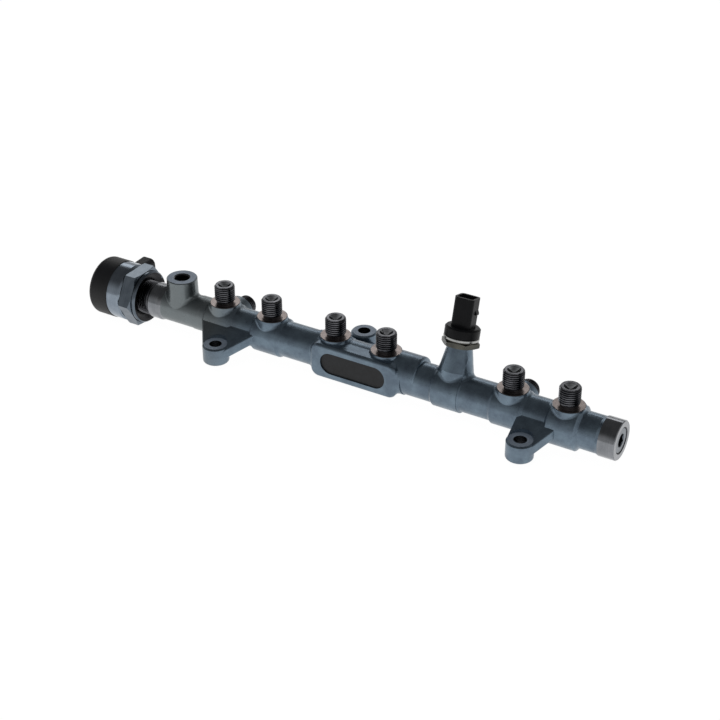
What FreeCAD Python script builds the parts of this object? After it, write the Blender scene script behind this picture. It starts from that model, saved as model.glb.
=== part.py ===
"""Forged six-outlet common rail with its pressure sensor, pressure control valve and screw plug.

Millimetres, +Z up. The origin is the middle of the two front bolt holes, at the mounting plane
under their pads. The rail's long axis runs along X, above and behind that point.
"""
import FreeCAD
import Part

import math
import os

V = FreeCAD.Vector
DOWN_X = V(-1, 0, 0)
UP_X = V(1, 0, 0)
UP_Y = V(0, 1, 0)
UP_Z = V(0, 0, 1)

# Place of the rail's axis over the mounting plane
AXIS_REACH = 27.4
AXIS_HEIGHT = 15.0

# Forged tube: main radius, machined ends, raised collars as (middle, half width, radius)
TUBE_R = 12.2
RAIL_RIGHT_X = 169.0
RIGHT_END_R = 13.0
RIGHT_END_LENGTH = 11.0
LEFT_COLLAR_X = -182.8
LEFT_COLLAR_R = 12.7
LEFT_COLLAR_LENGTH = 8.0
LEFT_TUBE_R = 11.8
LEFT_TUBE_END_X = -142.0
COLLAR_R = 13.5
COLLAR_HALF_WIDTH = 9.8
WIDE_COLLAR_R = 14.7
WIDE_COLLAR_HALF_WIDTH = 9.2
TAPER = 2.0
EDGE = 0.5
BLEND_REACH = 16.0
BLEND_SINK = 0.06
MAIN_BORE_R = 5.0
DRILLING_R = 1.5

# Raised shoulder behind the tube, right of the plate block
SHOULDER_START_X = 8.0
SHOULDER_END_X = 30.3
SHOULDER_R = 13.5
SHOULDER_SHIFT_Y = 1.0
SHOULDER_SHIFT_Z = 1.4

# High-pressure nipples, M14 x 1.5 with a 60 degree sealing cone
OUTLET_X = (-124.2, -85.6, -35.2, 3.4, 94.9, 133.1)
INLET_X = (OUTLET_X[0], OUTLET_X[4])
NIPPLE_R = 7.0
NIPPLE_UNDERCUT_R = 5.9
NIPPLE_UNDERCUT = 1.3
NIPPLE_CHAMFER = 0.9
CONE_MOUTH_R = 4.4
CONE_HALF_ANGLE = 30.0
SEAT_R = 10.5
BOSS_FOOT_R = 11.4
BOSS_FOOT = 2.0
BOSS_BLEND_R = 2.5
OUTLET_SEAT = 14.7
OUTLET_RIM = 28.0
INLET_SEAT = 18.0
INLET_RIM = 27.6

# Return port
RETURN_X = -160.3
RETURN_R = 10.7
RETURN_BLEND_R = 3.0
RETURN_HEIGHT = 23.8
RETURN_HOLE_R = 5.25
RETURN_HOLE_DEPTH = 12.0
RETURN_MOUTH = 0.6

# Plate block on the front, with its shallow stadium recess
BLOCK_X = -14.5
BLOCK_LENGTH = 65.0
BLOCK_FRONT = 14.0
BLOCK_HALF_HEIGHT = 12.5
BLOCK_CORNER_R = 6.0
BLOCK_EDGE_R = 2.4
BLOCK_BLEND_R = 2.5
BLOCK_BAR_R = 12.9
RECESS_LENGTH = 49.0
RECESS_HEIGHT = 15.6
RECESS_DEPTH = 0.9

# Front lugs and rear boss, all with the same bolt hole
LUG_PITCH = 228.0
BOLT_HOLE_R = 4.3
LUG_HEAD_R = 9.0
LUG_THICKNESS = 12.85
HEAD_ROUND = 1.0
WEB_ROUND = 1.4
WEB_START = 6.0
WEB_BLEND_R = 1.5
LUG_WEB_Y = 13.0
LUG_WEB_TOP = 3.5
LUG_WEB_SLOPE = 0.41
LUG_WEB_THICKNESS = 7.5
SPOT_FACE_R = 8.1
LEFT_LUG_ROOT = (-21.2, 21.2)
RIGHT_LUG_ROOT = (-10.2, 17.3)
REAR_BOSS_X = -29.5
REAR_BOSS_REACH = 27.4
REAR_BOSS_R = 8.9
REAR_BOSS_HEIGHT = 21.0
REAR_WEB_Y = 9.0
REAR_WEB_TOP = 8.6
REAR_WEB_SLOPE = 0.55
REAR_WEB_THICKNESS = 9.0
REAR_ROOT = (-16.0, 18.0)

# Pressure sensor, heights counted from the rail's axis along the sensor's own axis
SENSOR_X = 53.0
SENSOR_TILT = 15.0
SENSOR_COLLAR_X = 52.0
SENSOR_COLLAR_HALF_WIDTH = 8.6
SENSOR_BOSS_TOP = 29.8
SENSOR_BOSS_R = 8.2
SENSOR_BOSS_FLARE_R = 11.3
SENSOR_BOSS_FLARE_HEIGHT = 14.0
SENSOR_BLEND_R = 3.5
SENSOR_HOLE_R = 5.0
SENSOR_SEAT = 18.0
SENSOR_HEX_AF = 22.0
SENSOR_HEX_BOTTOM = 30.3
SENSOR_HEX_TOP = 33.7
SENSOR_HEX_TURN = 10.0
SENSOR_NECK_R = 10.4
SENSOR_RING_R = 11.7
SENSOR_RING_BOTTOM = 34.6
SENSOR_RING_TOP = 36.4
SENSOR_FLANGE_R = 11.5
SENSOR_FLANGE_TOP = 43.0
SENSOR_TOP = 62.2
SENSOR_PLUG_HALF_X = 6.8
SENSOR_PLUG_HALF_Y = 6.1
SENSOR_PLUG_CORNER_R = 2.6
SENSOR_PLUG_WALL = 1.4
SENSOR_SOCKET_FLOOR = 46.5
SENSOR_CAVITY_R = 9.4
SENSOR_CAVITY_TOP = 41.6
SENSOR_CELL_R = 4.6
SENSOR_CELL_TOP = 39.4
SENSOR_BOARD_R = 8.6
SENSOR_BOARD_THICKNESS = 1.2
SENSOR_PIN_PITCH = 3.2
SENSOR_LATCH_Y = 2.0
SENSOR_LATCH_BASE = 51.6
SENSOR_LATCH_HEIGHT = 3.2
SENSOR_LATCH_WIDTH = 3.6
SENSOR_PIN_SIZE = 0.8
SENSOR_PIN_TOP = 55.0
SENSOR_SEAL_R = 10.35
SENSOR_SEAL_SECTION = 0.5

# Screw plug in the right end
PLUG_R = 8.4
PLUG_FACE_DROP = 0.4
PLUG_LENGTH = 15.0
PLUG_NOSE_R = 7.0
PLUG_HEX_AF = 8.0
PLUG_HEX_DEPTH = 7.0

# Pressure control valve, stations along X from the rail outwards
SPIGOT_R = 12.0
SPIGOT_END_X = -196.5
VALVE_SEAL_X = -151.3
VALVE_BORE_R = 8.0
NUT_FACE_X = -189.8
NUT_COLLAR_R = 18.7
NUT_COLLAR_LENGTH = 2.5
NUT_HEX_AF = 38.0
NUT_HEX_LENGTH = 9.6
NUT_FACE_R = 17.9
NUT_MOUTH_R = 16.9
NUT_MOUTH_DEPTH = 1.8
FLANGE_THICKNESS = 3.0
FLANGE_R = 11.8
FLANGE_GAP = 0.2
NOSE_R = 6.8
NOSE_LENGTH = 14.0
INLET_HOLE_R = 0.75
BALL_R = 2.0
BALL_X = -158.0
BALL_CLEARANCE = 0.05
BALL_CHAMBER_R = 2.6
BALL_CHAMBER_END_X = -166.0
OUTFLOW_R = 1.0
PIN_R = 1.5
NECK_R = 9.0
NECK_END_X = -205.3
POLE_R = 7.4
POLE_FACE_X = -210.0
AIR_GAP = 0.6
ARMATURE_R = 7.3
ARMATURE_LENGTH = 8.0
ARMATURE_TRAVEL = 0.4
STOP_CLEARANCE = 0.05
SLEEVE_WALL = 0.7
SLEEVE_END_X = -221.5
SPRING_POCKET_R = 3.0
SPRING_POCKET_DEPTH = 4.0
SPRING_R = 2.2
SPRING_WIRE_R = 0.4
SPRING_TURNS = 3.5
O_RING_SECTION = 0.78
O_RING_X = -188.5
GROOVE_HALF_WIDTH = 1.1
COIL_R = 15.6
BOBBIN_FLANGE_R = 16.5
BOBBIN_WALL = 1.0
CAN_R = 20.4
CAN_START_X = -202.3
CAN_PLATE = 3.0
CAN_INNER_R = 17.0
CAN_SEAT_R = 18.8
END_DISC_X = -222.5
END_DISC_THICKNESS = 1.7
CAP_R = 20.8
CAP_START_X = -213.1
CAP_FLAT_X = -226.3
CAP_END_X = -229.8
CAP_END_R = 16.4
VALVE_PLUG_X = -220.3
VALVE_PLUG_RISE = 2.0
VALVE_PLUG_REACH = 38.0
VALVE_PLUG_ROOT = 15.5
VALVE_PLUG_HALF_X = 6.2
VALVE_PLUG_HALF_Z = 5.5
VALVE_PLUG_CORNER_R = 3.8
VALVE_PLUG_WALL = 1.4
VALVE_SOCKET_DEPTH = 12.0
VALVE_LATCH_SETBACK = 6.0
VALVE_LATCH_HEIGHT = 4.0
VALVE_LATCH_WIDTH = 4.5
TERMINAL_PITCH = 4.4
TERMINAL_WIDTH = 2.2
TERMINAL_THICKNESS = 0.8
TERMINAL_TIP = 5.5
TOWER_START = 15.7
TOWER_END = 18.6
TOWER_HALF_WIDTH = 3.9
TOWER_HALF_THICKNESS = 1.8

# Fits
THREAD_GAP = 0.05
SLIDE_GAP = 0.05
LOOSE_GAP = 0.15


def outline(*steps):
    """Closed flat face in the XZ plane through points; a pair of points is an arc through the first."""
    here = V(steps[0][0], 0, steps[0][1])
    start = here
    edges = []
    for step in steps[1:]:
        if isinstance(step[0], tuple):
            middle = V(step[0][0], 0, step[0][1])
            end = V(step[1][0], 0, step[1][1])
            edges.append(Part.Arc(here, middle, end).toShape())
        else:
            end = V(step[0], 0, step[1])
            edges.append(Part.makeLine(here, end))
        here = end
    edges.append(Part.makeLine(here, start))
    return Part.Face(Part.Wire(edges))


def turned_x(*steps):
    """Turned solid about the X axis from (x, radius) steps."""
    return outline(*steps).revolve(V(0, 0, 0), UP_X, 360)


def turned_z(*steps):
    """Turned solid about the Z axis from (radius, height) steps."""
    return outline(*steps).revolve(V(0, 0, 0), UP_Z, 360)


def rod(start, direction, radius, length):
    """Round bar from a point along a direction."""
    return Part.makeCylinder(radius, length, start, direction)


def hexagon(across_flats, height, turn):
    """Hexagonal prism standing on the XY plane, its first corner turned from +X by some degrees."""
    corner_r = across_flats / math.sqrt(3)
    angles = [math.radians(turn + 60 * corner) for corner in range(7)]
    points = [V(corner_r * math.cos(a), corner_r * math.sin(a), 0) for a in angles]
    return Part.Face(Part.makePolygon(points)).extrude(V(0, 0, height))


def rounded_bar(half_x, half_y, corner_r, height):
    """Upright bar of rounded rectangular section, centred on Z and standing on the XY plane."""
    bar = Part.makeBox(2 * half_x, 2 * half_y, height, V(-half_x, -half_y, 0))
    upright = [e for e in bar.Edges if abs(e.tangentAt(e.FirstParameter).z) > 0.99]
    return bar.makeFillet(corner_r, upright)


def on_x_axis(shape):
    """Turn a shape standing on +Z so that it stands on +X."""
    return shape.copy().rotate(V(0, 0, 0), UP_Y, 90)


def on_sensor_axis(shape):
    """Carry a shape from the upright Z axis to the sensor's tilted axis."""
    placed = shape.copy()
    placed.rotate(V(0, 0, 0), UP_X, -SENSOR_TILT)
    placed.translate(V(SENSOR_X, 0, 0))
    return placed


def on_valve_plug_axis(shape):
    """Carry a shape from the upright Z axis to the valve connector's axis, which points backwards."""
    placed = shape.copy()
    placed.rotate(V(0, 0, 0), UP_X, VALVE_PLUG_RISE - 90)
    placed.translate(V(VALVE_PLUG_X, 0, 0))
    return placed


def is_seam(edge, bar_r, reach):
    """True for an edge where a boss leaves the surface of a plain bar along X."""
    first, span = edge.FirstParameter, edge.LastParameter - edge.FirstParameter
    points = [edge.valueAt(first + span * part) for part in (0.1, 0.5, 0.9)]
    on_bar_surface = all(abs(math.hypot(p.y, p.z) - bar_r) < 0.001 for p in points)
    return on_bar_surface and abs(points[1].x) < reach and edge.Curve.TypeId != "Part::GeomLine"


def blended(boss, surface_r, blend_r, reach):
    """A boss about X = 0 on a bar just under a round surface, with a rolled blend along their seam."""
    bar_r = surface_r - BLEND_SINK
    joined = rod(V(-reach, 0, 0), UP_X, bar_r, 2 * reach).fuse(boss)
    return joined.makeFillet(blend_r, [e for e in joined.Edges if is_seam(e, bar_r, reach - 0.1)])


def slab(half_width):
    """Wide box that keeps only what lies within a collar's width."""
    size = 8 * AXIS_REACH
    return Part.makeBox(2 * half_width, size, size, V(-half_width, -size / 2, -size / 2))


def blended_on_collar(boss, blend_r, collar_r, half_width):
    """A boss blended both into the tube and, over the collar's width, into the collar."""
    on_tube = blended(boss, TUBE_R, blend_r, BLEND_REACH)
    on_collar = blended(boss, collar_r, blend_r, BLEND_REACH).common(slab(half_width))
    return on_tube.fuse(on_collar)


def tube():
    """Forged tube with machined ends and the raised collars under nipples and sensor."""
    collars = [(x, COLLAR_HALF_WIDTH, COLLAR_R) for x in OUTLET_X[:5]]
    collars.append((SENSOR_COLLAR_X, SENSOR_COLLAR_HALF_WIDTH, COLLAR_R))
    collars.append((OUTLET_X[5], WIDE_COLLAR_HALF_WIDTH, WIDE_COLLAR_R))
    collars.sort()
    steps = [(LEFT_COLLAR_X, 0), (LEFT_COLLAR_X, LEFT_COLLAR_R - EDGE),
             (LEFT_COLLAR_X + EDGE, LEFT_COLLAR_R)]
    left_end = LEFT_COLLAR_X + LEFT_COLLAR_LENGTH
    steps += [(left_end, LEFT_COLLAR_R), (left_end + TAPER, LEFT_TUBE_R)]
    steps += [(LEFT_TUBE_END_X, LEFT_TUBE_R), (LEFT_TUBE_END_X + TAPER, TUBE_R)]
    for middle, half_width, radius in collars:
        steps += [(middle - half_width - TAPER, TUBE_R), (middle - half_width, radius)]
        steps += [(middle + half_width, radius), (middle + half_width + TAPER, TUBE_R)]
    right_start = RAIL_RIGHT_X - RIGHT_END_LENGTH
    steps += [(right_start - TAPER, TUBE_R), (right_start, RIGHT_END_R)]
    steps += [(RAIL_RIGHT_X - EDGE, RIGHT_END_R), (RAIL_RIGHT_X, RIGHT_END_R - EDGE), (RAIL_RIGHT_X, 0)]
    return turned_x(*steps)


def nipple(seat, rim):
    """Threaded nipple standing on the Z axis above its seat, without its bore."""
    foot = seat + NIPPLE_UNDERCUT
    return turned_z((0, BOSS_FOOT), (NIPPLE_UNDERCUT_R, BOSS_FOOT), (NIPPLE_UNDERCUT_R, foot),
                    (NIPPLE_R, foot + NIPPLE_R - NIPPLE_UNDERCUT_R), (NIPPLE_R, rim - NIPPLE_CHAMFER),
                    (NIPPLE_R - NIPPLE_CHAMFER, rim), (0, rim))


def nipple_boss(seat, collar_r, half_width):
    """Forged boss under a nipple, blended into the tube and its collar and faced off at the seat."""
    over = seat + 2 * BOSS_BLEND_R
    draft = (BOSS_FOOT_R - SEAT_R) / (seat - BOSS_FOOT)
    top_r = SEAT_R - draft * (over - seat)
    boss = turned_z((0, BOSS_FOOT), (BOSS_FOOT_R, BOSS_FOOT), (top_r, over), (0, over))
    facing = turned_z((0, seat), (SEAT_R - EDGE, seat), (SEAT_R + 2 * EDGE, seat - 1.5 * EDGE),
                      (2 * BLEND_REACH, seat - 1.5 * EDGE), (2 * BLEND_REACH, 2 * over), (0, 2 * over))
    crown = rod(V(-2 * BLEND_REACH, 0, 0), UP_X, collar_r, 4 * BLEND_REACH)
    return blended_on_collar(boss, BOSS_BLEND_R, collar_r, half_width).cut(facing.cut(crown))


def nipple_bore(rim):
    """Sealing cone and drilling of a nipple on the Z axis, down to the rail's axis."""
    cone_depth = (CONE_MOUTH_R - DRILLING_R) / math.tan(math.radians(CONE_HALF_ANGLE))
    return turned_z((0, 0), (DRILLING_R, 0), (DRILLING_R, rim - cone_depth), (CONE_MOUTH_R, rim), (0, rim))


def tangent_point(corner, centre, radius, side):
    """Point where a line from a corner touches a circle, on its left (1) or right (-1) side."""
    reach = centre - corner
    turn = side * math.asin(radius / reach.Length)
    length = math.sqrt(reach.Length ** 2 - radius ** 2)
    heading = math.atan2(reach.y, reach.x) + turn
    return corner + V(math.cos(heading), math.sin(heading), 0) * length


def mounting_arm(x, y, head_r, head_top, root, web):
    """Bolt head and its sloping web, which leaves the tube's side at (y, z) with a slope and thickness."""
    web_y, web_z, slope, thickness = web
    side = 1 if y > 0 else -1
    centre = V(x, y, 0)
    corners = [V(x + root[0], side * web_y, 0), V(x + root[1], side * web_y, 0)]
    touches = [tangent_point(corners[0], centre, head_r, side),
               tangent_point(corners[1], centre, head_r, -side)]
    inner = [c + (c - t) * ((web_y - WEB_START) / abs(t.y - c.y)) for c, t in zip(corners, touches)]
    plan = Part.Face(Part.makePolygon([inner[0], touches[0], centre, touches[1], inner[1], inner[0]]))
    plan.translate(V(0, 0, -2 * AXIS_HEIGHT))
    reach = abs(y) + head_r
    top = [(WEB_START, web_z + slope * (web_y - WEB_START)), (reach, web_z - slope * (reach - web_y))]
    low = [(out, height - thickness) for out, height in reversed(top)]
    profile = [V(0, side * out, height) for out, height in top + low]
    strut = Part.Face(Part.makePolygon(profile + [profile[0]])).extrude(V(2 * LUG_PITCH, 0, 0))
    strut.translate(V(x - LUG_PITCH, 0, 0))
    strut = strut.common(plan.extrude(V(0, 0, 4 * AXIS_HEIGHT)))
    strut = strut.makeFillet(WEB_ROUND, [e for e in strut.Edges if is_flank_edge(e)])
    head = turned_z((0, 0), (head_r - WEB_ROUND, 0), ((head_r - 0.3 * WEB_ROUND, 0.3 * WEB_ROUND),
                    (head_r, WEB_ROUND)), (head_r, head_top - HEAD_ROUND), (head_r - HEAD_ROUND, head_top),
                    (0, head_top))
    head.translate(V(x, y, -AXIS_HEIGHT))
    ground = Part.makeBox(4 * LUG_PITCH, 8 * AXIS_REACH, 4 * AXIS_HEIGHT,
                          V(-2 * LUG_PITCH, -4 * AXIS_REACH, -5 * AXIS_HEIGHT))
    return strut.cut(ground).fuse(head)


def is_flank_edge(edge):
    """True for a strut's long side edges, which run outwards and downwards."""
    direction = edge.tangentAt(edge.FirstParameter)
    return abs(direction.y) > 0.4 and abs(direction.z) > 0.2


def plate_block():
    """Flat-faced block on the front of the tube, with rounded corners and face edges."""
    block = rounded_bar(BLOCK_LENGTH / 2, BLOCK_HALF_HEIGHT, BLOCK_CORNER_R, BLOCK_FRONT)
    face_edges = [e for e in block.Edges if min(v.Z for v in e.Vertexes) > BLOCK_FRONT - 0.01]
    block = block.makeFillet(BLOCK_EDGE_R, face_edges)
    block.rotate(V(0, 0, 0), UP_X, 90)
    reach = BLOCK_LENGTH / 2 + BLOCK_BLEND_R
    return blended(block, BLOCK_BAR_R, BLOCK_BLEND_R, reach).translate(V(BLOCK_X, 0, 0))


def plate_recess():
    """Stadium-shaped pocket for a plate, which stays bare."""
    pocket = rounded_bar(RECESS_LENGTH / 2, RECESS_HEIGHT / 2, RECESS_HEIGHT / 2 - 0.01, 2 * RECESS_DEPTH)
    pocket.rotate(V(0, 0, 0), UP_X, 90)
    pocket.translate(V(BLOCK_X, RECESS_DEPTH - BLOCK_FRONT, 0))
    return pocket


def rail_body():
    """The one-piece forging with everything machined on it."""
    body = tube()
    solids = [turned_x((SPIGOT_END_X, 0), (SPIGOT_END_X, SPIGOT_R - EDGE), (SPIGOT_END_X + EDGE, SPIGOT_R),
                       (LEFT_COLLAR_X + EDGE, SPIGOT_R), (LEFT_COLLAR_X + EDGE, 0))]
    shoulder = turned_x((SHOULDER_START_X, 0), (SHOULDER_START_X, SHOULDER_R),
                        (SHOULDER_END_X - TAPER, SHOULDER_R),
                        ((SHOULDER_END_X - 0.3 * TAPER, SHOULDER_R - 0.3 * TAPER),
                         (SHOULDER_END_X, SHOULDER_R - TAPER)), (SHOULDER_END_X, 0))
    solids.append(shoulder.translate(V(0, SHOULDER_SHIFT_Y, SHOULDER_SHIFT_Z)))
    cuts = []
    for x in OUTLET_X:
        wide = x == OUTLET_X[5]
        collar_r = WIDE_COLLAR_R if wide else COLLAR_R
        half_width = WIDE_COLLAR_HALF_WIDTH if wide else COLLAR_HALF_WIDTH
        solids.append(nipple_boss(OUTLET_SEAT, collar_r, half_width).translate(V(x, 0, 0)))
        solids.append(nipple(OUTLET_SEAT, OUTLET_RIM).translate(V(x, 0, 0)))
        cuts.append(nipple_bore(OUTLET_RIM).translate(V(x, 0, 0)))
    for x in INLET_X:
        boss = nipple_boss(INLET_SEAT, COLLAR_R, COLLAR_HALF_WIDTH)
        solids.append(boss.rotate(V(0, 0, 0), UP_X, -90).translate(V(x, 0, 0)))
        solids.append(nipple(INLET_SEAT, INLET_RIM).rotate(V(0, 0, 0), UP_X, -90).translate(V(x, 0, 0)))
        cuts.append(nipple_bore(INLET_RIM).rotate(V(0, 0, 0), UP_X, -90).translate(V(x, 0, 0)))
    half_pitch = LUG_PITCH / 2
    lug_web = (LUG_WEB_Y, LUG_WEB_TOP, LUG_WEB_SLOPE, LUG_WEB_THICKNESS)
    for x, root in ((-half_pitch, LEFT_LUG_ROOT), (half_pitch, RIGHT_LUG_ROOT)):
        arm = mounting_arm(0, -AXIS_REACH, LUG_HEAD_R, LUG_THICKNESS, root, lug_web)
        solids.append(blended(arm, TUBE_R, WEB_BLEND_R, 2 * BLEND_REACH).translate(V(x, 0, 0)))
        cuts.append(rod(V(x, -AXIS_REACH, -2 * AXIS_HEIGHT), UP_Z, BOLT_HOLE_R, 4 * AXIS_HEIGHT))
        cuts.append(rod(V(x, -AXIS_REACH, LUG_THICKNESS - AXIS_HEIGHT), UP_Z, SPOT_FACE_R, AXIS_HEIGHT))
    rear_web = (REAR_WEB_Y, REAR_WEB_TOP, REAR_WEB_SLOPE, REAR_WEB_THICKNESS)
    arm = mounting_arm(0, REAR_BOSS_REACH, REAR_BOSS_R, REAR_BOSS_HEIGHT, REAR_ROOT, rear_web)
    solids.append(blended(arm, TUBE_R, WEB_BLEND_R, 2 * BLEND_REACH).translate(V(REAR_BOSS_X, 0, 0)))
    cuts.append(rod(V(REAR_BOSS_X, REAR_BOSS_REACH, -2 * AXIS_HEIGHT), UP_Z, BOLT_HOLE_R, 4 * AXIS_HEIGHT))
    solids.append(plate_block())
    cuts.append(plate_recess())
    solids.append(return_boss())
    cuts.append(return_hole())
    solids.append(sensor_boss())
    cuts.append(sensor_hole())
    plug_seat_x = RAIL_RIGHT_X - PLUG_FACE_DROP - PLUG_LENGTH
    hole_r = PLUG_R + THREAD_GAP
    cuts.append(turned_x((VALVE_SEAL_X - 1, 0), (VALVE_SEAL_X - 1, MAIN_BORE_R), (plug_seat_x, MAIN_BORE_R),
                         (plug_seat_x, hole_r), (RAIL_RIGHT_X - EDGE, hole_r),
                         (RAIL_RIGHT_X, hole_r + EDGE), (RAIL_RIGHT_X, 0)))
    cuts.append(rod(V(VALVE_SEAL_X, 0, 0), DOWN_X, VALVE_BORE_R, VALVE_SEAL_X - SPIGOT_END_X))
    body = body.multiFuse(solids)
    return body.cut(cuts).removeSplitter()


def return_boss():
    """Upright boss of the return port at the left, blended into the tube."""
    boss = turned_z((0, 0), (RETURN_R + EDGE, 0), (RETURN_R, RETURN_HEIGHT - EDGE),
                    (RETURN_R - EDGE, RETURN_HEIGHT), (0, RETURN_HEIGHT))
    return blended(boss, LEFT_TUBE_R, RETURN_BLEND_R, BLEND_REACH).translate(V(RETURN_X, 0, 0))


def return_hole():
    """Tapped hole of the return port and the drilling to the chamber round the valve's nose."""
    floor = RETURN_HEIGHT - RETURN_HOLE_DEPTH
    hole = turned_z((0, 0), (DRILLING_R, 0), (DRILLING_R, floor), (RETURN_HOLE_R, floor),
                    (RETURN_HOLE_R, RETURN_HEIGHT - RETURN_MOUTH),
                    (RETURN_HOLE_R + RETURN_MOUTH, RETURN_HEIGHT), (0, RETURN_HEIGHT))
    return hole.translate(V(RETURN_X, 0, 0))


def sensor_boss():
    """Drafted boss that carries the pressure sensor, leaning back and blended into tube and collar."""
    flare_r, flare = SENSOR_BOSS_FLARE_R, SENSOR_BOSS_FLARE_HEIGHT
    boss = turned_z((0, 0), (flare_r, 0), (flare_r, flare), (SENSOR_BOSS_R, SENSOR_BOSS_TOP),
                    (0, SENSOR_BOSS_TOP))
    boss.rotate(V(0, 0, 0), UP_X, -SENSOR_TILT)
    boss = blended_on_collar(boss, SENSOR_BLEND_R, COLLAR_R, SENSOR_COLLAR_HALF_WIDTH)
    return boss.translate(V(SENSOR_X, 0, 0))


def sensor_hole():
    """Tapped hole for the sensor with a flat seat and a drilling to the main bore."""
    hole = turned_z((0, 0), (DRILLING_R, 0), (DRILLING_R, SENSOR_SEAT), (SENSOR_HOLE_R, SENSOR_SEAT),
                    (SENSOR_HOLE_R, SENSOR_BOSS_TOP), (0, SENSOR_BOSS_TOP))
    return on_sensor_axis(hole)


def end_plug():
    """Hexagon-socket screw plug, flush in the right end."""
    face_x = RAIL_RIGHT_X - PLUG_FACE_DROP
    seat_x = face_x - PLUG_LENGTH
    plug = turned_x((seat_x, 0), (seat_x, PLUG_NOSE_R), (seat_x + PLUG_R - PLUG_NOSE_R, PLUG_R),
                    (face_x - EDGE, PLUG_R), (face_x, PLUG_R - EDGE), (face_x, 0))
    socket = on_x_axis(hexagon(PLUG_HEX_AF, PLUG_HEX_DEPTH, 0)).translate(V(face_x - PLUG_HEX_DEPTH, 0, 0))
    lead_r = PLUG_HEX_AF / 2
    lead = turned_x((face_x - 1, 0), (face_x - 1, lead_r - 0.3), (face_x, lead_r + 0.7), (face_x, 0))
    return plug.cut([socket, lead])


def sensor_port():
    """Sensor's steel body: sealing nose, threaded stem, hexagon and collar."""
    stem_r = SENSOR_HOLE_R - THREAD_GAP
    stem = turned_z((DRILLING_R, SENSOR_SEAT), (stem_r - 1, SENSOR_SEAT), (stem_r, SENSOR_SEAT + 1),
                    (stem_r, SENSOR_HEX_BOTTOM), (stem_r, SENSOR_RING_BOTTOM),
                    (DRILLING_R, SENSOR_RING_BOTTOM))
    bottom, top = SENSOR_HEX_BOTTOM, SENSOR_HEX_TOP
    corner_r = SENSOR_HEX_AF / math.sqrt(3)
    flat_r = SENSOR_HEX_AF / 2
    rounding = turned_z((0, bottom), (flat_r, bottom), (corner_r, bottom + EDGE), (corner_r, top - EDGE),
                        (flat_r, top), (0, top))
    nut = hexagon(SENSOR_HEX_AF, top - bottom, SENSOR_HEX_TURN).translate(V(0, 0, bottom)).common(rounding)
    neck = rod(V(0, 0, top), UP_Z, SENSOR_NECK_R, SENSOR_RING_BOTTOM - top)
    bore = rod(V(0, 0, SENSOR_SEAT), UP_Z, DRILLING_R, SENSOR_RING_BOTTOM - SENSOR_SEAT)
    return on_sensor_axis(stem.fuse([nut, neck]).cut(bore).removeSplitter())


def sensor_ring():
    """Thin steel ring between the hexagon and the connector's flange."""
    ring = turned_z((SENSOR_CELL_R + LOOSE_GAP, SENSOR_RING_BOTTOM),
                    (SENSOR_RING_R - 0.3, SENSOR_RING_BOTTOM),
                    (SENSOR_RING_R, SENSOR_RING_BOTTOM + 0.3), (SENSOR_RING_R, SENSOR_RING_TOP - 0.3),
                    (SENSOR_RING_R - 0.3, SENSOR_RING_TOP), (SENSOR_CELL_R + LOOSE_GAP, SENSOR_RING_TOP))
    return on_sensor_axis(ring)


def sensor_cell():
    """Steel diaphragm cup welded on the port body."""
    wall = 1.0
    cell = turned_z((0, SENSOR_CELL_TOP - wall), (SENSOR_CELL_R - wall, SENSOR_CELL_TOP - wall),
                    (SENSOR_CELL_R - wall, SENSOR_RING_BOTTOM), (SENSOR_CELL_R, SENSOR_RING_BOTTOM),
                    (SENSOR_CELL_R, SENSOR_CELL_TOP), (0, SENSOR_CELL_TOP))
    return on_sensor_axis(cell)


def sensor_board():
    """Round circuit board under the connector's floor."""
    bottom = SENSOR_CAVITY_TOP - SENSOR_BOARD_THICKNESS
    return on_sensor_axis(rod(V(0, 0, bottom), UP_Z, SENSOR_BOARD_R, SENSOR_BOARD_THICKNESS))


def sensor_seal():
    """Sealing ring in the groove under the connector's flange."""
    ring = Part.makeTorus(SENSOR_SEAL_R, SENSOR_SEAL_SECTION)
    return on_sensor_axis(ring.translate(V(0, 0, SENSOR_RING_TOP + SENSOR_SEAL_SECTION + THREAD_GAP)))


def latch_ramp(half_x, base, height, width):
    """Wedge on the +X wall of a connector, which its mating plug snaps over."""
    proud = 0.9
    points = [(half_x - 0.5, base), (half_x + proud, base), (half_x + proud, base + 0.35 * height),
              (half_x, base + height), (half_x - 0.5, base + height)]
    wedge = outline(*points).extrude(V(0, width, 0))
    return wedge.translate(V(0, -width / 2, 0))


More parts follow.
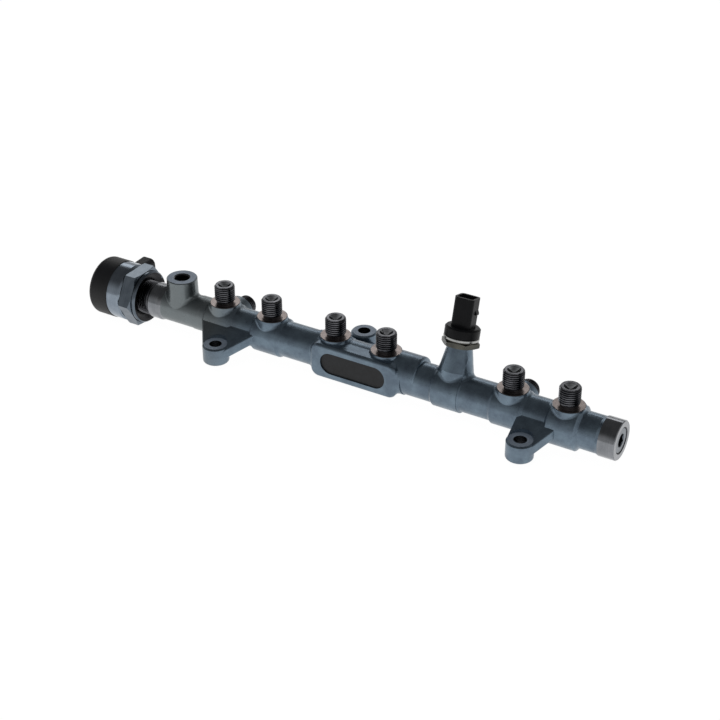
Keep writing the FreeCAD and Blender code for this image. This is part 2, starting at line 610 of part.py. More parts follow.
def sensor_connector():
    """Black moulded flange and open three-pin socket."""
    flange = turned_z((0, SENSOR_RING_TOP), (SENSOR_FLANGE_R - 0.4, SENSOR_RING_TOP),
                      (SENSOR_FLANGE_R, SENSOR_RING_TOP + 0.8), (SENSOR_FLANGE_R, SENSOR_FLANGE_TOP - 1.0),
                      (SENSOR_FLANGE_R - 1.0, SENSOR_FLANGE_TOP), (0, SENSOR_FLANGE_TOP))
    shroud_length = SENSOR_TOP - SENSOR_RING_TOP - 1
    shroud = rounded_bar(SENSOR_PLUG_HALF_X, SENSOR_PLUG_HALF_Y, SENSOR_PLUG_CORNER_R, shroud_length)
    shroud.translate(V(0, 0, SENSOR_RING_TOP + 1))
    wall = SENSOR_PLUG_WALL
    socket = rounded_bar(SENSOR_PLUG_HALF_X - wall, SENSOR_PLUG_HALF_Y - wall, SENSOR_PLUG_CORNER_R - wall,
                         SENSOR_TOP - SENSOR_SOCKET_FLOOR)
    socket.translate(V(0, 0, SENSOR_SOCKET_FLOOR))
    cavity = rod(V(0, 0, SENSOR_RING_TOP), UP_Z, SENSOR_CAVITY_R, SENSOR_CAVITY_TOP - SENSOR_RING_TOP)
    groove_r = SENSOR_SEAL_SECTION + LOOSE_GAP
    groove_top = SENSOR_RING_TOP + 2 * SENSOR_SEAL_SECTION + 2 * THREAD_GAP
    groove = turned_z((SENSOR_SEAL_R - groove_r, SENSOR_RING_TOP),
                      (SENSOR_SEAL_R + groove_r, SENSOR_RING_TOP),
                      (SENSOR_SEAL_R + groove_r, groove_top), (SENSOR_SEAL_R - groove_r, groove_top))
    latch = latch_ramp(SENSOR_PLUG_HALF_X, SENSOR_LATCH_BASE, SENSOR_LATCH_HEIGHT, SENSOR_LATCH_WIDTH)
    latch.translate(V(0, SENSOR_LATCH_Y, 0))
    moulding = flange.fuse([shroud, latch]).cut([socket, cavity, groove] + [pin_slot(i) for i in range(3)])
    return on_sensor_axis(moulding.removeSplitter())


def pin_box(index, size):
    """Square bar along the sensor's axis at one pin's place."""
    bottom = SENSOR_CAVITY_TOP
    x = (index - 1) * SENSOR_PIN_PITCH
    return Part.makeBox(size, size, SENSOR_PIN_TOP - bottom, V(x - size / 2, -size / 2, bottom))


def pin_slot(index):
    """Hole in the connector's floor that one pin fills."""
    return pin_box(index, SENSOR_PIN_SIZE)


def sensor_pin(index):
    """Contact pin from the circuit board into the socket."""
    return on_sensor_axis(pin_box(index, SENSOR_PIN_SIZE))


def valve_body():
    """Valve's turned body: nose with ball seat, flange, neck and magnet pole, bored for the pin."""
    flange_x = SPIGOT_END_X - FLANGE_GAP
    guide_r = VALVE_BORE_R - THREAD_GAP
    nose_end_x = VALVE_SEAL_X - NOSE_LENGTH
    body = turned_x((VALVE_SEAL_X, 0), (VALVE_SEAL_X, NOSE_R - EDGE), (VALVE_SEAL_X - EDGE, NOSE_R),
                    (nose_end_x, NOSE_R), (nose_end_x - 1, guide_r), (flange_x, guide_r),
                    (flange_x, FLANGE_R),
                    (flange_x - FLANGE_THICKNESS, FLANGE_R), (flange_x - FLANGE_THICKNESS, NECK_R),
                    (NECK_END_X, NECK_R), (NECK_END_X, POLE_R), (POLE_FACE_X, POLE_R), (POLE_FACE_X, 0))
    contact = BALL_R * math.sqrt(0.5)
    seat_x = BALL_X + contact
    bore = turned_x((VALVE_SEAL_X, 0), (VALVE_SEAL_X, INLET_HOLE_R),
                    (seat_x + contact - INLET_HOLE_R, INLET_HOLE_R),
                    (seat_x + contact - BALL_CHAMBER_R, BALL_CHAMBER_R),
                    (BALL_CHAMBER_END_X, BALL_CHAMBER_R), (BALL_CHAMBER_END_X, PIN_R + SLIDE_GAP),
                    (POLE_FACE_X, PIN_R + SLIDE_GAP), (POLE_FACE_X, 0))
    groove_start, groove_end = O_RING_X - GROOVE_HALF_WIDTH, O_RING_X + GROOVE_HALF_WIDTH
    groove = turned_x((groove_start, groove_floor_r()), (groove_end, groove_floor_r()),
                      (groove_end, VALVE_BORE_R), (groove_start, VALVE_BORE_R))
    outflow = [rod(V(RETURN_X, 0, 0), direction, OUTFLOW_R, VALVE_BORE_R)
               for direction in (UP_Z, UP_Y, V(0, 0, -1), V(0, -1, 0))]
    return body.cut([bore, groove] + outflow)


def groove_floor_r():
    """Radius of the O-ring groove's floor, which the ring just meets."""
    return VALVE_BORE_R - 2 * O_RING_SECTION - THREAD_GAP


def valve_o_ring():
    """O-ring that closes the return chamber to the outside."""
    ring = Part.makeTorus(groove_floor_r() + O_RING_SECTION, O_RING_SECTION)
    return on_x_axis(ring).translate(V(O_RING_X, 0, 0))


def ball_x():
    """Ball's middle when the valve is shut, a hair off its seat."""
    return BALL_X - BALL_CLEARANCE * math.sqrt(2)


def valve_ball():
    """Steel ball that shuts the inlet drilling."""
    return Part.makeSphere(BALL_R, V(ball_x(), 0, 0))


def armature_front_x():
    """Armature's face towards the pole when the valve is shut."""
    return POLE_FACE_X - AIR_GAP


def armature_back_x():
    """Armature's face towards the spring when the valve is shut."""
    return armature_front_x() - ARMATURE_LENGTH


def valve_pin():
    """Pin that carries the armature's force to the ball."""
    tip_x = ball_x() - BALL_R
    return rod(V(tip_x, 0, 0), DOWN_X, PIN_R, tip_x - armature_back_x())


def valve_armature():
    """Armature pressed on the pin, with chamfered ends."""
    front, back = armature_front_x(), armature_back_x()
    return turned_x((back, PIN_R), (back, ARMATURE_R - EDGE), (back + EDGE, ARMATURE_R),
                    (front - EDGE, ARMATURE_R), (front, ARMATURE_R - EDGE), (front, PIN_R))


def stop_x():
    """Face of the end stop that the armature meets when the valve is wide open."""
    return armature_back_x() - ARMATURE_TRAVEL - STOP_CLEARANCE


def valve_end_stop():
    """End disc of the magnet with the stop and the spring's pocket."""
    end_x = END_DISC_X - END_DISC_THICKNESS
    pocket_x = stop_x() - SPRING_POCKET_DEPTH
    disc = turned_x((end_x, 0), (end_x, CAN_INNER_R - THREAD_GAP), (END_DISC_X, CAN_INNER_R - THREAD_GAP),
                    (END_DISC_X, ARMATURE_R), (stop_x(), ARMATURE_R), (stop_x(), SPRING_POCKET_R),
                    (pocket_x, SPRING_POCKET_R), (pocket_x, 0))
    return disc.cut(terminal_tower(LOOSE_GAP))


def valve_spring():
    """Closing spring between the end stop's pocket and the armature."""
    start_x = stop_x() - SPRING_POCKET_DEPTH + SPRING_WIRE_R
    length = armature_back_x() - SPRING_WIRE_R - start_x
    helix = Part.makeHelix(length / SPRING_TURNS, length, SPRING_R)
    section = Part.Wire(Part.makeCircle(SPRING_WIRE_R, V(SPRING_R, 0, 0), UP_Y))
    spring = Part.Wire(helix).makePipeShell([section], True, True)
    return on_x_axis(spring).translate(V(start_x, 0, 0))


def valve_sleeve():
    """Thin non-magnetic sleeve in which the armature slides."""
    inner = ARMATURE_R + 2 * SLIDE_GAP
    start = NECK_END_X
    return turned_x((SLEEVE_END_X, inner), (SLEEVE_END_X, inner + SLEEVE_WALL), (start, inner + SLEEVE_WALL),
                    (start, inner))


def bobbin_inner_r():
    """Inner radius of the bobbin, round the sleeve."""
    return ARMATURE_R + 2 * SLIDE_GAP + SLEEVE_WALL + THREAD_GAP


def terminal_tower(gap):
    """Bar through the magnet's wall that holds the terminals, or with a gap the window it passes."""
    half_x, half_y = TOWER_HALF_WIDTH + gap, TOWER_HALF_THICKNESS + gap
    end = 2 * CAN_SEAT_R if gap else TOWER_END
    bar = Part.makeBox(2 * half_x, 2 * half_y, end - TOWER_START + gap,
                       V(-half_x, -half_y, TOWER_START - gap))
    return on_valve_plug_axis(bar)


def valve_bobbin():
    """Moulded bobbin with its two flanges and the terminals' tower."""
    inner = bobbin_inner_r()
    core = inner + BOBBIN_WALL
    start, end = CAN_START_X - CAN_PLATE, SLEEVE_END_X - BOBBIN_WALL
    spool = turned_x((end, inner), (end, BOBBIN_FLANGE_R), (end + BOBBIN_WALL, BOBBIN_FLANGE_R),
                     (end + BOBBIN_WALL, core), (start - BOBBIN_WALL, core),
                     (start - BOBBIN_WALL, BOBBIN_FLANGE_R), (start, BOBBIN_FLANGE_R), (start, inner))
    slots = [on_valve_plug_axis(terminal_box(i)) for i in range(2)]
    return spool.fuse(terminal_tower(0)).cut(slots).removeSplitter()


def valve_coil():
    """Copper winding, its whole section as one solid."""
    core = bobbin_inner_r() + BOBBIN_WALL
    start, end = CAN_START_X - CAN_PLATE - BOBBIN_WALL, SLEEVE_END_X
    return turned_x((end, core), (end, COIL_R), (start, COIL_R), (start, core))


def valve_can():
    """Steel magnet housing with its pole plate, stepped where the cap sits on it."""
    end_x = END_DISC_X - END_DISC_THICKNESS
    can = turned_x((end_x, CAN_INNER_R), (end_x, CAN_SEAT_R), (CAP_START_X, CAN_SEAT_R),
                   (CAP_START_X, CAN_R), (CAN_START_X - 1.2, CAN_R), (CAN_START_X, CAN_R - 1.2),
                   (CAN_START_X, NECK_R + THREAD_GAP), (CAN_START_X - CAN_PLATE, NECK_R + THREAD_GAP),
                   (CAN_START_X - CAN_PLATE, CAN_INNER_R))
    return can.cut(terminal_tower(LOOSE_GAP))


def valve_nut():
    """Union nut that clamps the valve on the rail's spigot."""
    collar_end_x = NUT_FACE_X - NUT_COLLAR_LENGTH
    hex_end_x = collar_end_x - NUT_HEX_LENGTH
    corner_r = NUT_HEX_AF / math.sqrt(3)
    prism = on_x_axis(hexagon(NUT_HEX_AF, NUT_HEX_LENGTH, 30)).translate(V(hex_end_x, 0, 0))
    rounding = turned_x((hex_end_x, 0), (hex_end_x, corner_r - 0.9), (hex_end_x + 0.5, corner_r),
                        (collar_end_x - 1.5, corner_r), (collar_end_x, NUT_HEX_AF / 2), (collar_end_x, 0))
    collar = turned_x((collar_end_x, 0), (collar_end_x, NUT_COLLAR_R),
                      (NUT_FACE_X - NUT_COLLAR_R + NUT_FACE_R, NUT_COLLAR_R), (NUT_FACE_X, NUT_FACE_R),
                      (NUT_FACE_X, 0))
    shoulder_x = SPIGOT_END_X - FLANGE_GAP - FLANGE_THICKNESS
    thread_r = SPIGOT_R + THREAD_GAP
    bore = turned_x((hex_end_x, 0), (hex_end_x, NECK_R + LOOSE_GAP), (shoulder_x, NECK_R + LOOSE_GAP),
                    (shoulder_x, thread_r), (NUT_FACE_X - NUT_MOUTH_DEPTH - 1, thread_r),
                    (NUT_FACE_X - NUT_MOUTH_DEPTH, thread_r + 1), (NUT_FACE_X, NUT_MOUTH_R), (NUT_FACE_X, 0))
    return prism.common(rounding).fuse(collar).cut(bore).removeSplitter()


def valve_cap():
    """Moulded cap with the open two-pin socket, pointing backwards."""
    inner = CAN_SEAT_R + THREAD_GAP
    floor_x = END_DISC_X - END_DISC_THICKNESS
    bulge = (0.5 * (CAP_FLAT_X + CAP_END_X) - 0.9, 0.5 * (CAP_R + CAP_END_R) + 0.9)
    cap = turned_x((CAP_START_X, 0), (CAP_START_X, CAP_R - 0.4), (CAP_START_X - 0.4, CAP_R),
                   (CAP_FLAT_X, CAP_R), (bulge, (CAP_END_X, CAP_END_R)), (CAP_END_X, 0))
    shroud_length = VALVE_PLUG_REACH - VALVE_PLUG_ROOT
    shroud = rounded_bar(VALVE_PLUG_HALF_X, VALVE_PLUG_HALF_Z, VALVE_PLUG_CORNER_R, shroud_length)
    shroud.translate(V(0, 0, VALVE_PLUG_ROOT))
    wall = VALVE_PLUG_WALL
    socket = rounded_bar(VALVE_PLUG_HALF_X - wall, VALVE_PLUG_HALF_Z - wall, VALVE_PLUG_CORNER_R - wall,
                         VALVE_SOCKET_DEPTH)
    socket.translate(V(0, 0, VALVE_PLUG_REACH - VALVE_SOCKET_DEPTH))
    latch = latch_ramp(0, VALVE_PLUG_REACH - VALVE_LATCH_SETBACK, VALVE_LATCH_HEIGHT, VALVE_LATCH_WIDTH)
    latch.rotate(V(0, 0, 0), UP_Z, 90)
    latch.translate(V(0, VALVE_PLUG_HALF_Z, 0))
    outside = cap.fuse([on_valve_plug_axis(shroud), on_valve_plug_axis(latch)])
    inside = rod(V(floor_x, 0, 0), UP_X, inner, CAP_START_X - floor_x)
    slots = [on_valve_plug_axis(terminal_box(i)) for i in range(2)]
    return outside.cut([inside, on_valve_plug_axis(socket)] + slots).removeSplitter()


def terminal_box(index):
    """Flat bar along the valve connector's axis at one terminal's place."""
    x = (index - 0.5) * TERMINAL_PITCH
    tip = VALVE_PLUG_REACH - TERMINAL_TIP
    root = BOBBIN_FLANGE_R - THREAD_GAP
    return Part.makeBox(TERMINAL_WIDTH, TERMINAL_THICKNESS, tip - root,
                        V(x - TERMINAL_WIDTH / 2, -TERMINAL_THICKNESS / 2, root))


def valve_terminal(index):
    """Contact blade from the coil's bobbin into the socket."""
    return on_valve_plug_axis(terminal_box(index))


def all_nodes():
    """Every sub-part by its node name, about the rail's axis."""
    nodes = {
        "rail_body": rail_body(),
        "end_plug": end_plug(),
        "sensor_port": sensor_port(),
        "sensor_ring": sensor_ring(),
        "sensor_cell": sensor_cell(),
        "sensor_board": sensor_board(),
        "sensor_seal": sensor_seal(),
        "sensor_connector": sensor_connector(),
        "valve_body": valve_body(),
        "valve_ball": valve_ball(),
        "valve_pin": valve_pin(),
        "valve_armature": valve_armature(),
        "valve_spring": valve_spring(),
        "valve_end_stop": valve_end_stop(),
        "valve_sleeve": valve_sleeve(),
        "valve_bobbin": valve_bobbin(),
        "valve_coil": valve_coil(),
        "valve_can": valve_can(),
        "valve_o_ring": valve_o_ring(),
        "valve_union_nut": valve_nut(),
        "valve_cap": valve_cap(),
    }
    for index in range(3):
        nodes[f"sensor_pin_{index + 1}"] = sensor_pin(index)
    for index in range(2):
        nodes[f"valve_terminal_{index + 1}"] = valve_terminal(index)
    return nodes


os.makedirs("parts", exist_ok=True)
for name, shape in all_nodes().items():
    shape.translate(V(0, AXIS_REACH, AXIS_HEIGHT))
    shape.exportStep(f"parts/{name}.step")
    counts = f"{len(shape.Solids)} solid, {len(shape.Faces)} faces"
    print(f"{name}: {counts}, {shape.Volume:.1f} mm3, valid {shape.isValid()}")
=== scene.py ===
"""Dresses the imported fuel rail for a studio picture: finishes, threads, floor, lights and camera.

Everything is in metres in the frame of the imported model. Sizes are written in millimetres and
turned to metres by MM.
"""
import logging
import math
from dataclasses import KW_ONLY, dataclass
from enum import Enum
from functools import cached_property
from typing import Callable, Iterable

import bmesh
import bpy
from mathutils import Matrix, Vector


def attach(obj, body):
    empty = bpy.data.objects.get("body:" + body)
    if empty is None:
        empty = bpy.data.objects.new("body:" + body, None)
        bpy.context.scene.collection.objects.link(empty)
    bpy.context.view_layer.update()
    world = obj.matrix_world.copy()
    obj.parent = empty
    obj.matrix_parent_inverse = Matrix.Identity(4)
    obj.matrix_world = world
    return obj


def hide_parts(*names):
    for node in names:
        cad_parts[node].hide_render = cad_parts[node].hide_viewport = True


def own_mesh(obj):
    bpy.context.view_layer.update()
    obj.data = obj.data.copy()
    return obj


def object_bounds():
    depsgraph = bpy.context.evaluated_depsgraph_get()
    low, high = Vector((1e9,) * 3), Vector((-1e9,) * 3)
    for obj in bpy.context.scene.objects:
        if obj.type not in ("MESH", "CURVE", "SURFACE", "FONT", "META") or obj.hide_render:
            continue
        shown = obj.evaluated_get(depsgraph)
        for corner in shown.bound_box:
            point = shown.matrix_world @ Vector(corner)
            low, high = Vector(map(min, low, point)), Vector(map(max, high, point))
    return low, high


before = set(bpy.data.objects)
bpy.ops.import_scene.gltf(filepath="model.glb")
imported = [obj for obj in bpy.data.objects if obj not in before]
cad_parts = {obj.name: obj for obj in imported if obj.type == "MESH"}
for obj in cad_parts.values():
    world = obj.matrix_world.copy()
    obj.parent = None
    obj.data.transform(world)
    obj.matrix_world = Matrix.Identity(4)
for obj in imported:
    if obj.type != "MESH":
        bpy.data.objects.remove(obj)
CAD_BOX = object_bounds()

MM = 0.001
LOG = logging.getLogger("fuel_rail")
EXACT_NORMAL = "exact_normal"
TURNING_MAP = "turning"

# Corners closer than this are one point, and what is thinner than a sliver is dropped
MERGE_MM = 0.002
THREAD_MERGE_MM = 0.004
SLIVER_MM = 0.001

# A unit normal with this much of it along a direction belongs to a face square to that direction
SQUARE = 0.95

# Shares of the pitch at which a tooth leaves its root, reaches its crest, leaves it and ends
TOOTH_SHARES = (0.14, 0.42, 0.58, 0.86)

# Ranges that hold most values of a noise: a strong contrast, a softer one, and two noises added
STRONG_NOISE = (0.35, 0.65)
SOFT_NOISE = (0.3, 0.7)
ADDED_NOISE = (0.55, 0.95)

Socket = bpy.types.NodeSocket
Tree = bpy.types.NodeTree
Mesh = bmesh.types.BMesh


class Axis(Enum):
    """Directions that turned forms stand along."""

    ALONG = Vector((1.0, 0.0, 0.0))
    BACK = Vector((0.0, 1.0, 0.0))
    UP = Vector((0.0, 0.0, 1.0))


class Skin(Enum):
    """Material places on the forging, in the order of its slots. Each has the finish of its name."""

    FORGED = 0
    SEAT = 1
    THREAD = 2
    BLACKENED = 3
    BRIGHT = 4
    SPOT_FACE = 5
    HOLE_SHADE = 6
    CONE = 7


@dataclass(frozen=True)
class ToolLine:
    """The line that a tool turns round: the axis of a thread, a bore or a turned piece."""

    foot: Vector
    direction: Vector

    def split(self, point: Vector) -> tuple[Vector, float]:
        """Splits the arm that reaches from the foot to a point.

        Args:
            point: The point, in metres.

        Returns:
            The part of the arm that is square to the line, and the arm's length along it.
        """
        arm = point - self.foot
        along = arm.dot(self.direction)
        return arm - along * self.direction, along

    def place(self, point: Vector) -> tuple[float, float]:
        """Gives a point's distance from the line and its height along it, in metres."""
        out, along = self.split(point)
        return out.length, along


@dataclass(frozen=True)
class Facet:
    """One face of the forging: its middle, in metres, and its normal."""

    centre: Vector
    normal: Vector

    def from_line(self, line: ToolLine) -> tuple[float, float]:
        """Gives the face's distance from a line and its height along it, in millimetres."""
        out, along = line.place(self.centre)
        return out / MM, along / MM


# What a finder of machined faces gives: a face's skin and line, or None where it is none of its faces
Found = tuple[Skin, ToolLine] | None


@dataclass(frozen=True)
class Layout:
    """Lines that the forging and the fittings share, placed in millimetres and degrees."""

    axis_y: float = 27.4
    axis_z: float = 15.0
    sensor_x: float = 53.0
    sensor_tilt: float = 15.0

    def line(self, x: float, direction: Vector) -> ToolLine:
        """Gives a line through the tube's axis at a place along it."""
        return ToolLine(Vector((x, self.axis_y, self.axis_z)) * MM, direction)

    @cached_property
    def tube(self) -> ToolLine:
        """The tube's own axis, which the plug and the valve stand on."""
        return self.line(0.0, Axis.ALONG.value)

    @cached_property
    def sensor(self) -> ToolLine:
        """The sensor's axis, which leans back."""
        lean = math.radians(self.sensor_tilt)
        return self.line(self.sensor_x, Vector((0.0, math.sin(lean), math.cos(lean))))


def linear(hex_colour: str) -> tuple[float, float, float, float]:
    """Turns an sRGB hex colour to linear RGBA.

    Args:
        hex_colour: A colour such as "#8899aa".

    Returns:
        Linear red, green, blue and an alpha of 1.
    """
    channels = [int(hex_colour[i:i + 2], 16) / 255 for i in (1, 3, 5)]
    light = [c / 12.92 if c <= 0.04045 else ((c + 0.055) / 1.055) ** 2.4 for c in channels]
    return *light, 1.0


def add_node(tree: Tree, kind: str, settings: dict | None = None,
             feeds: dict | None = None) -> bpy.types.Node:
    """Adds one shader node, sets its properties and feeds its sockets.

    Args:
        tree: The node tree.
        kind: The node's type name.
        settings: Properties by name.
        feeds: Input sockets by name or number, each a constant or another node's output.

    Returns:
        The new node.
    """
    node = tree.nodes.new(kind)
    for name, value in (settings or {}).items():
        setattr(node, name, value)
    for key, value in (feeds or {}).items():
        if isinstance(value, Socket):
            tree.links.new(value, node.inputs[key])
        else:
            node.inputs[key].default_value = value
    return node


def new_material(name: str) -> tuple[bpy.types.Material, Tree]:
    """Makes an empty node material.

    Args:
        name: The material's name.

    Returns:
        The material and its tree.
    """
    material = bpy.data.materials.new(name)
    material.use_nodes = True
    material.node_tree.nodes.clear()
    return material, material.node_tree


@dataclass(frozen=True)
class Finish:
    """What every finish has: two tones, a range of roughness, and metal or not."""

    name: str
    dark: str
    light: str
    _: KW_ONLY
    rough: tuple[float, float]
    metallic: float = 1.0
    specular: float = 0.5

    def tint(self, tree: Tree, tone: Socket) -> Socket:
        """Gives the colour that goes with the tone, which a kind of finish may change."""
        return add_node(tree, "ShaderNodeMix", {"data_type": "RGBA"},
                        {0: tone, 6: linear(self.dark), 7: linear(self.light)}).outputs[2]

    def shade(self, tree: Tree, tone: Socket, tone_range: tuple[float, float], relief: Socket,
              depth_mm: float) -> None:
        """Builds the surface: one pattern gives its colour, the other its gloss and its bumps.

        Args:
            tree: The material's tree.
            tone: The pattern that goes from the dark tone to the light one.
            tone_range: Its values at the two tones.
            relief: The pattern that stands out.
            depth_mm: How far it stands out, in millimetres.
        """
        spread = add_node(tree, "ShaderNodeMapRange",
                          feeds={"Value": tone, "From Min": tone_range[0], "From Max": tone_range[1]})
        gloss = add_node(tree, "ShaderNodeMapRange",
                         feeds={"Value": relief, "From Min": SOFT_NOISE[0], "From Max": SOFT_NOISE[1],
                                "To Min": self.rough[0], "To Max": self.rough[1]})
        bump = add_node(tree, "ShaderNodeBump",
                        feeds={"Strength": 1.0, "Distance": depth_mm * MM, "Height": relief})
        surface = add_node(tree, "ShaderNodeBsdfPrincipled",
                           feeds={"Base Color": self.tint(tree, spread.outputs["Result"]),
                                  "Roughness": gloss.outputs["Result"], "Normal": bump.outputs["Normal"],
                                  "Metallic": self.metallic, "Specular IOR Level": self.specular})
        add_node(tree, "ShaderNodeOutputMaterial", feeds={"Surface": surface.outputs["BSDF"]})


@dataclass(frozen=True, kw_only=True)
class GrainedFinish(Finish):
    """A surface with a soft mottle of colour over a fine bumpy grain.

    Patterns are sized in millimetres. Blasted and eroded grain is really 0.1 to 0.2 mm, too fine
    to show, so it is drawn coarser.
    """

    mottle_mm: float
    grain_mm: float
    grain_depth_mm: float

    def build(self) -> bpy.types.Material:
        """Makes the material.

        Returns:
            The material.
        """
        material, tree = new_material(self.name)
        place = add_node(tree, "ShaderNodeTexCoord").outputs["Object"]
        mottle = add_node(tree, "ShaderNodeTexNoise",
                          feeds={"Vector": place, "Scale": 1 / (self.mottle_mm * MM), "Detail": 4.0,
                                 "Roughness": 0.6})
        grain = add_node(tree, "ShaderNodeTexNoise",
                         feeds={"Vector": place, "Scale": 1 / (self.grain_mm * MM), "Detail": 3.0,
                                "Roughness": 0.55})
        self.shade(tree, mottle.outputs["Fac"], STRONG_NOISE, grain.outputs["Fac"], self.grain_depth_mm)
        return material


@dataclass(frozen=True, kw_only=True)
class ForgedFinish(GrainedFinish):
    """Forged skin that loses its blue towards the valve, under a thicker film of oil."""

    film: str = "#737878"
    film_share: float = 0.85
    film_full_mm: float = -140.0
    film_end_mm: float = -92.0
    film_ragged_mm: float = 40.0

    def tint(self, tree: Tree, tone: Socket) -> Socket:
        """Lays the film over the skin's colour.

        Args:
            tree: The material's tree.
            tone: The pattern that goes from the dark tone to the light one.

        Returns:
            The colour.
        """
        skin = super().tint(tree, tone)
        ragged = self.film_ragged_mm * MM
        middle = ragged / 2
        place = add_node(tree, "ShaderNodeTexCoord").outputs["Object"]
        along = add_node(tree, "ShaderNodeSeparateXYZ", feeds={"Vector": place}).outputs["X"]
        noise = add_node(tree, "ShaderNodeTexNoise", feeds={"Vector": place, "Scale": 1 / ragged})
        edge = add_node(tree, "ShaderNodeMath", {"operation": "MULTIPLY_ADD"},
                        {0: noise.outputs["Fac"], 1: ragged, 2: along})
        share = add_node(tree, "ShaderNodeMapRange", {"interpolation_type": "SMOOTHSTEP"},
                         {"Value": edge.outputs[0], "From Min": self.film_full_mm * MM + middle,
                          "From Max": self.film_end_mm * MM + middle,
                          "To Min": self.film_share, "To Max": 0.0})
        return add_node(tree, "ShaderNodeMix", {"data_type": "RGBA"},
                        {0: share.outputs["Result"], 6: skin, 7: linear(self.film)}).outputs[2]


@dataclass(frozen=True, kw_only=True)
class TurnedFinish(Finish):
    """Metal cut on a lathe: fine rings round the tool's line, read from the piece's turning map.

    The map holds each point's distance from the line and its height along it, in metres. Real
    tool marks are 0.05 to 0.1 mm apart, too fine to show, so the rings are drawn coarser.
    """

    ring_mm: float
    ring_depth_mm: float
    ring_share: float = 0.5
    mottle_mm: float = 6.0

    def build(self) -> bpy.types.Material:
        """Makes the material.

        Returns:
            The material.
        """
        material, tree = new_material(self.name)
        place = add_node(tree, "ShaderNodeTexCoord").outputs["Object"]
        lathe = add_node(tree, "ShaderNodeUVMap", {"uv_map": TURNING_MAP}).outputs["UV"]
        rings = add_node(tree, "ShaderNodeTexNoise", {"noise_dimensions": "2D"},
                         {"Vector": lathe, "Scale": 1 / (self.ring_mm * MM), "Detail": 2.0})
        mottle = add_node(tree, "ShaderNodeTexNoise",
                          feeds={"Vector": place, "Scale": 1 / (self.mottle_mm * MM), "Detail": 3.0})
        both = add_node(tree, "ShaderNodeMath", {"operation": "MULTIPLY_ADD"},
                        {0: rings.outputs["Fac"], 1: self.ring_share, 2: mottle.outputs["Fac"]})
        self.shade(tree, both.outputs[0], ADDED_NOISE, rings.outputs["Fac"], self.ring_depth_mm)
        return material


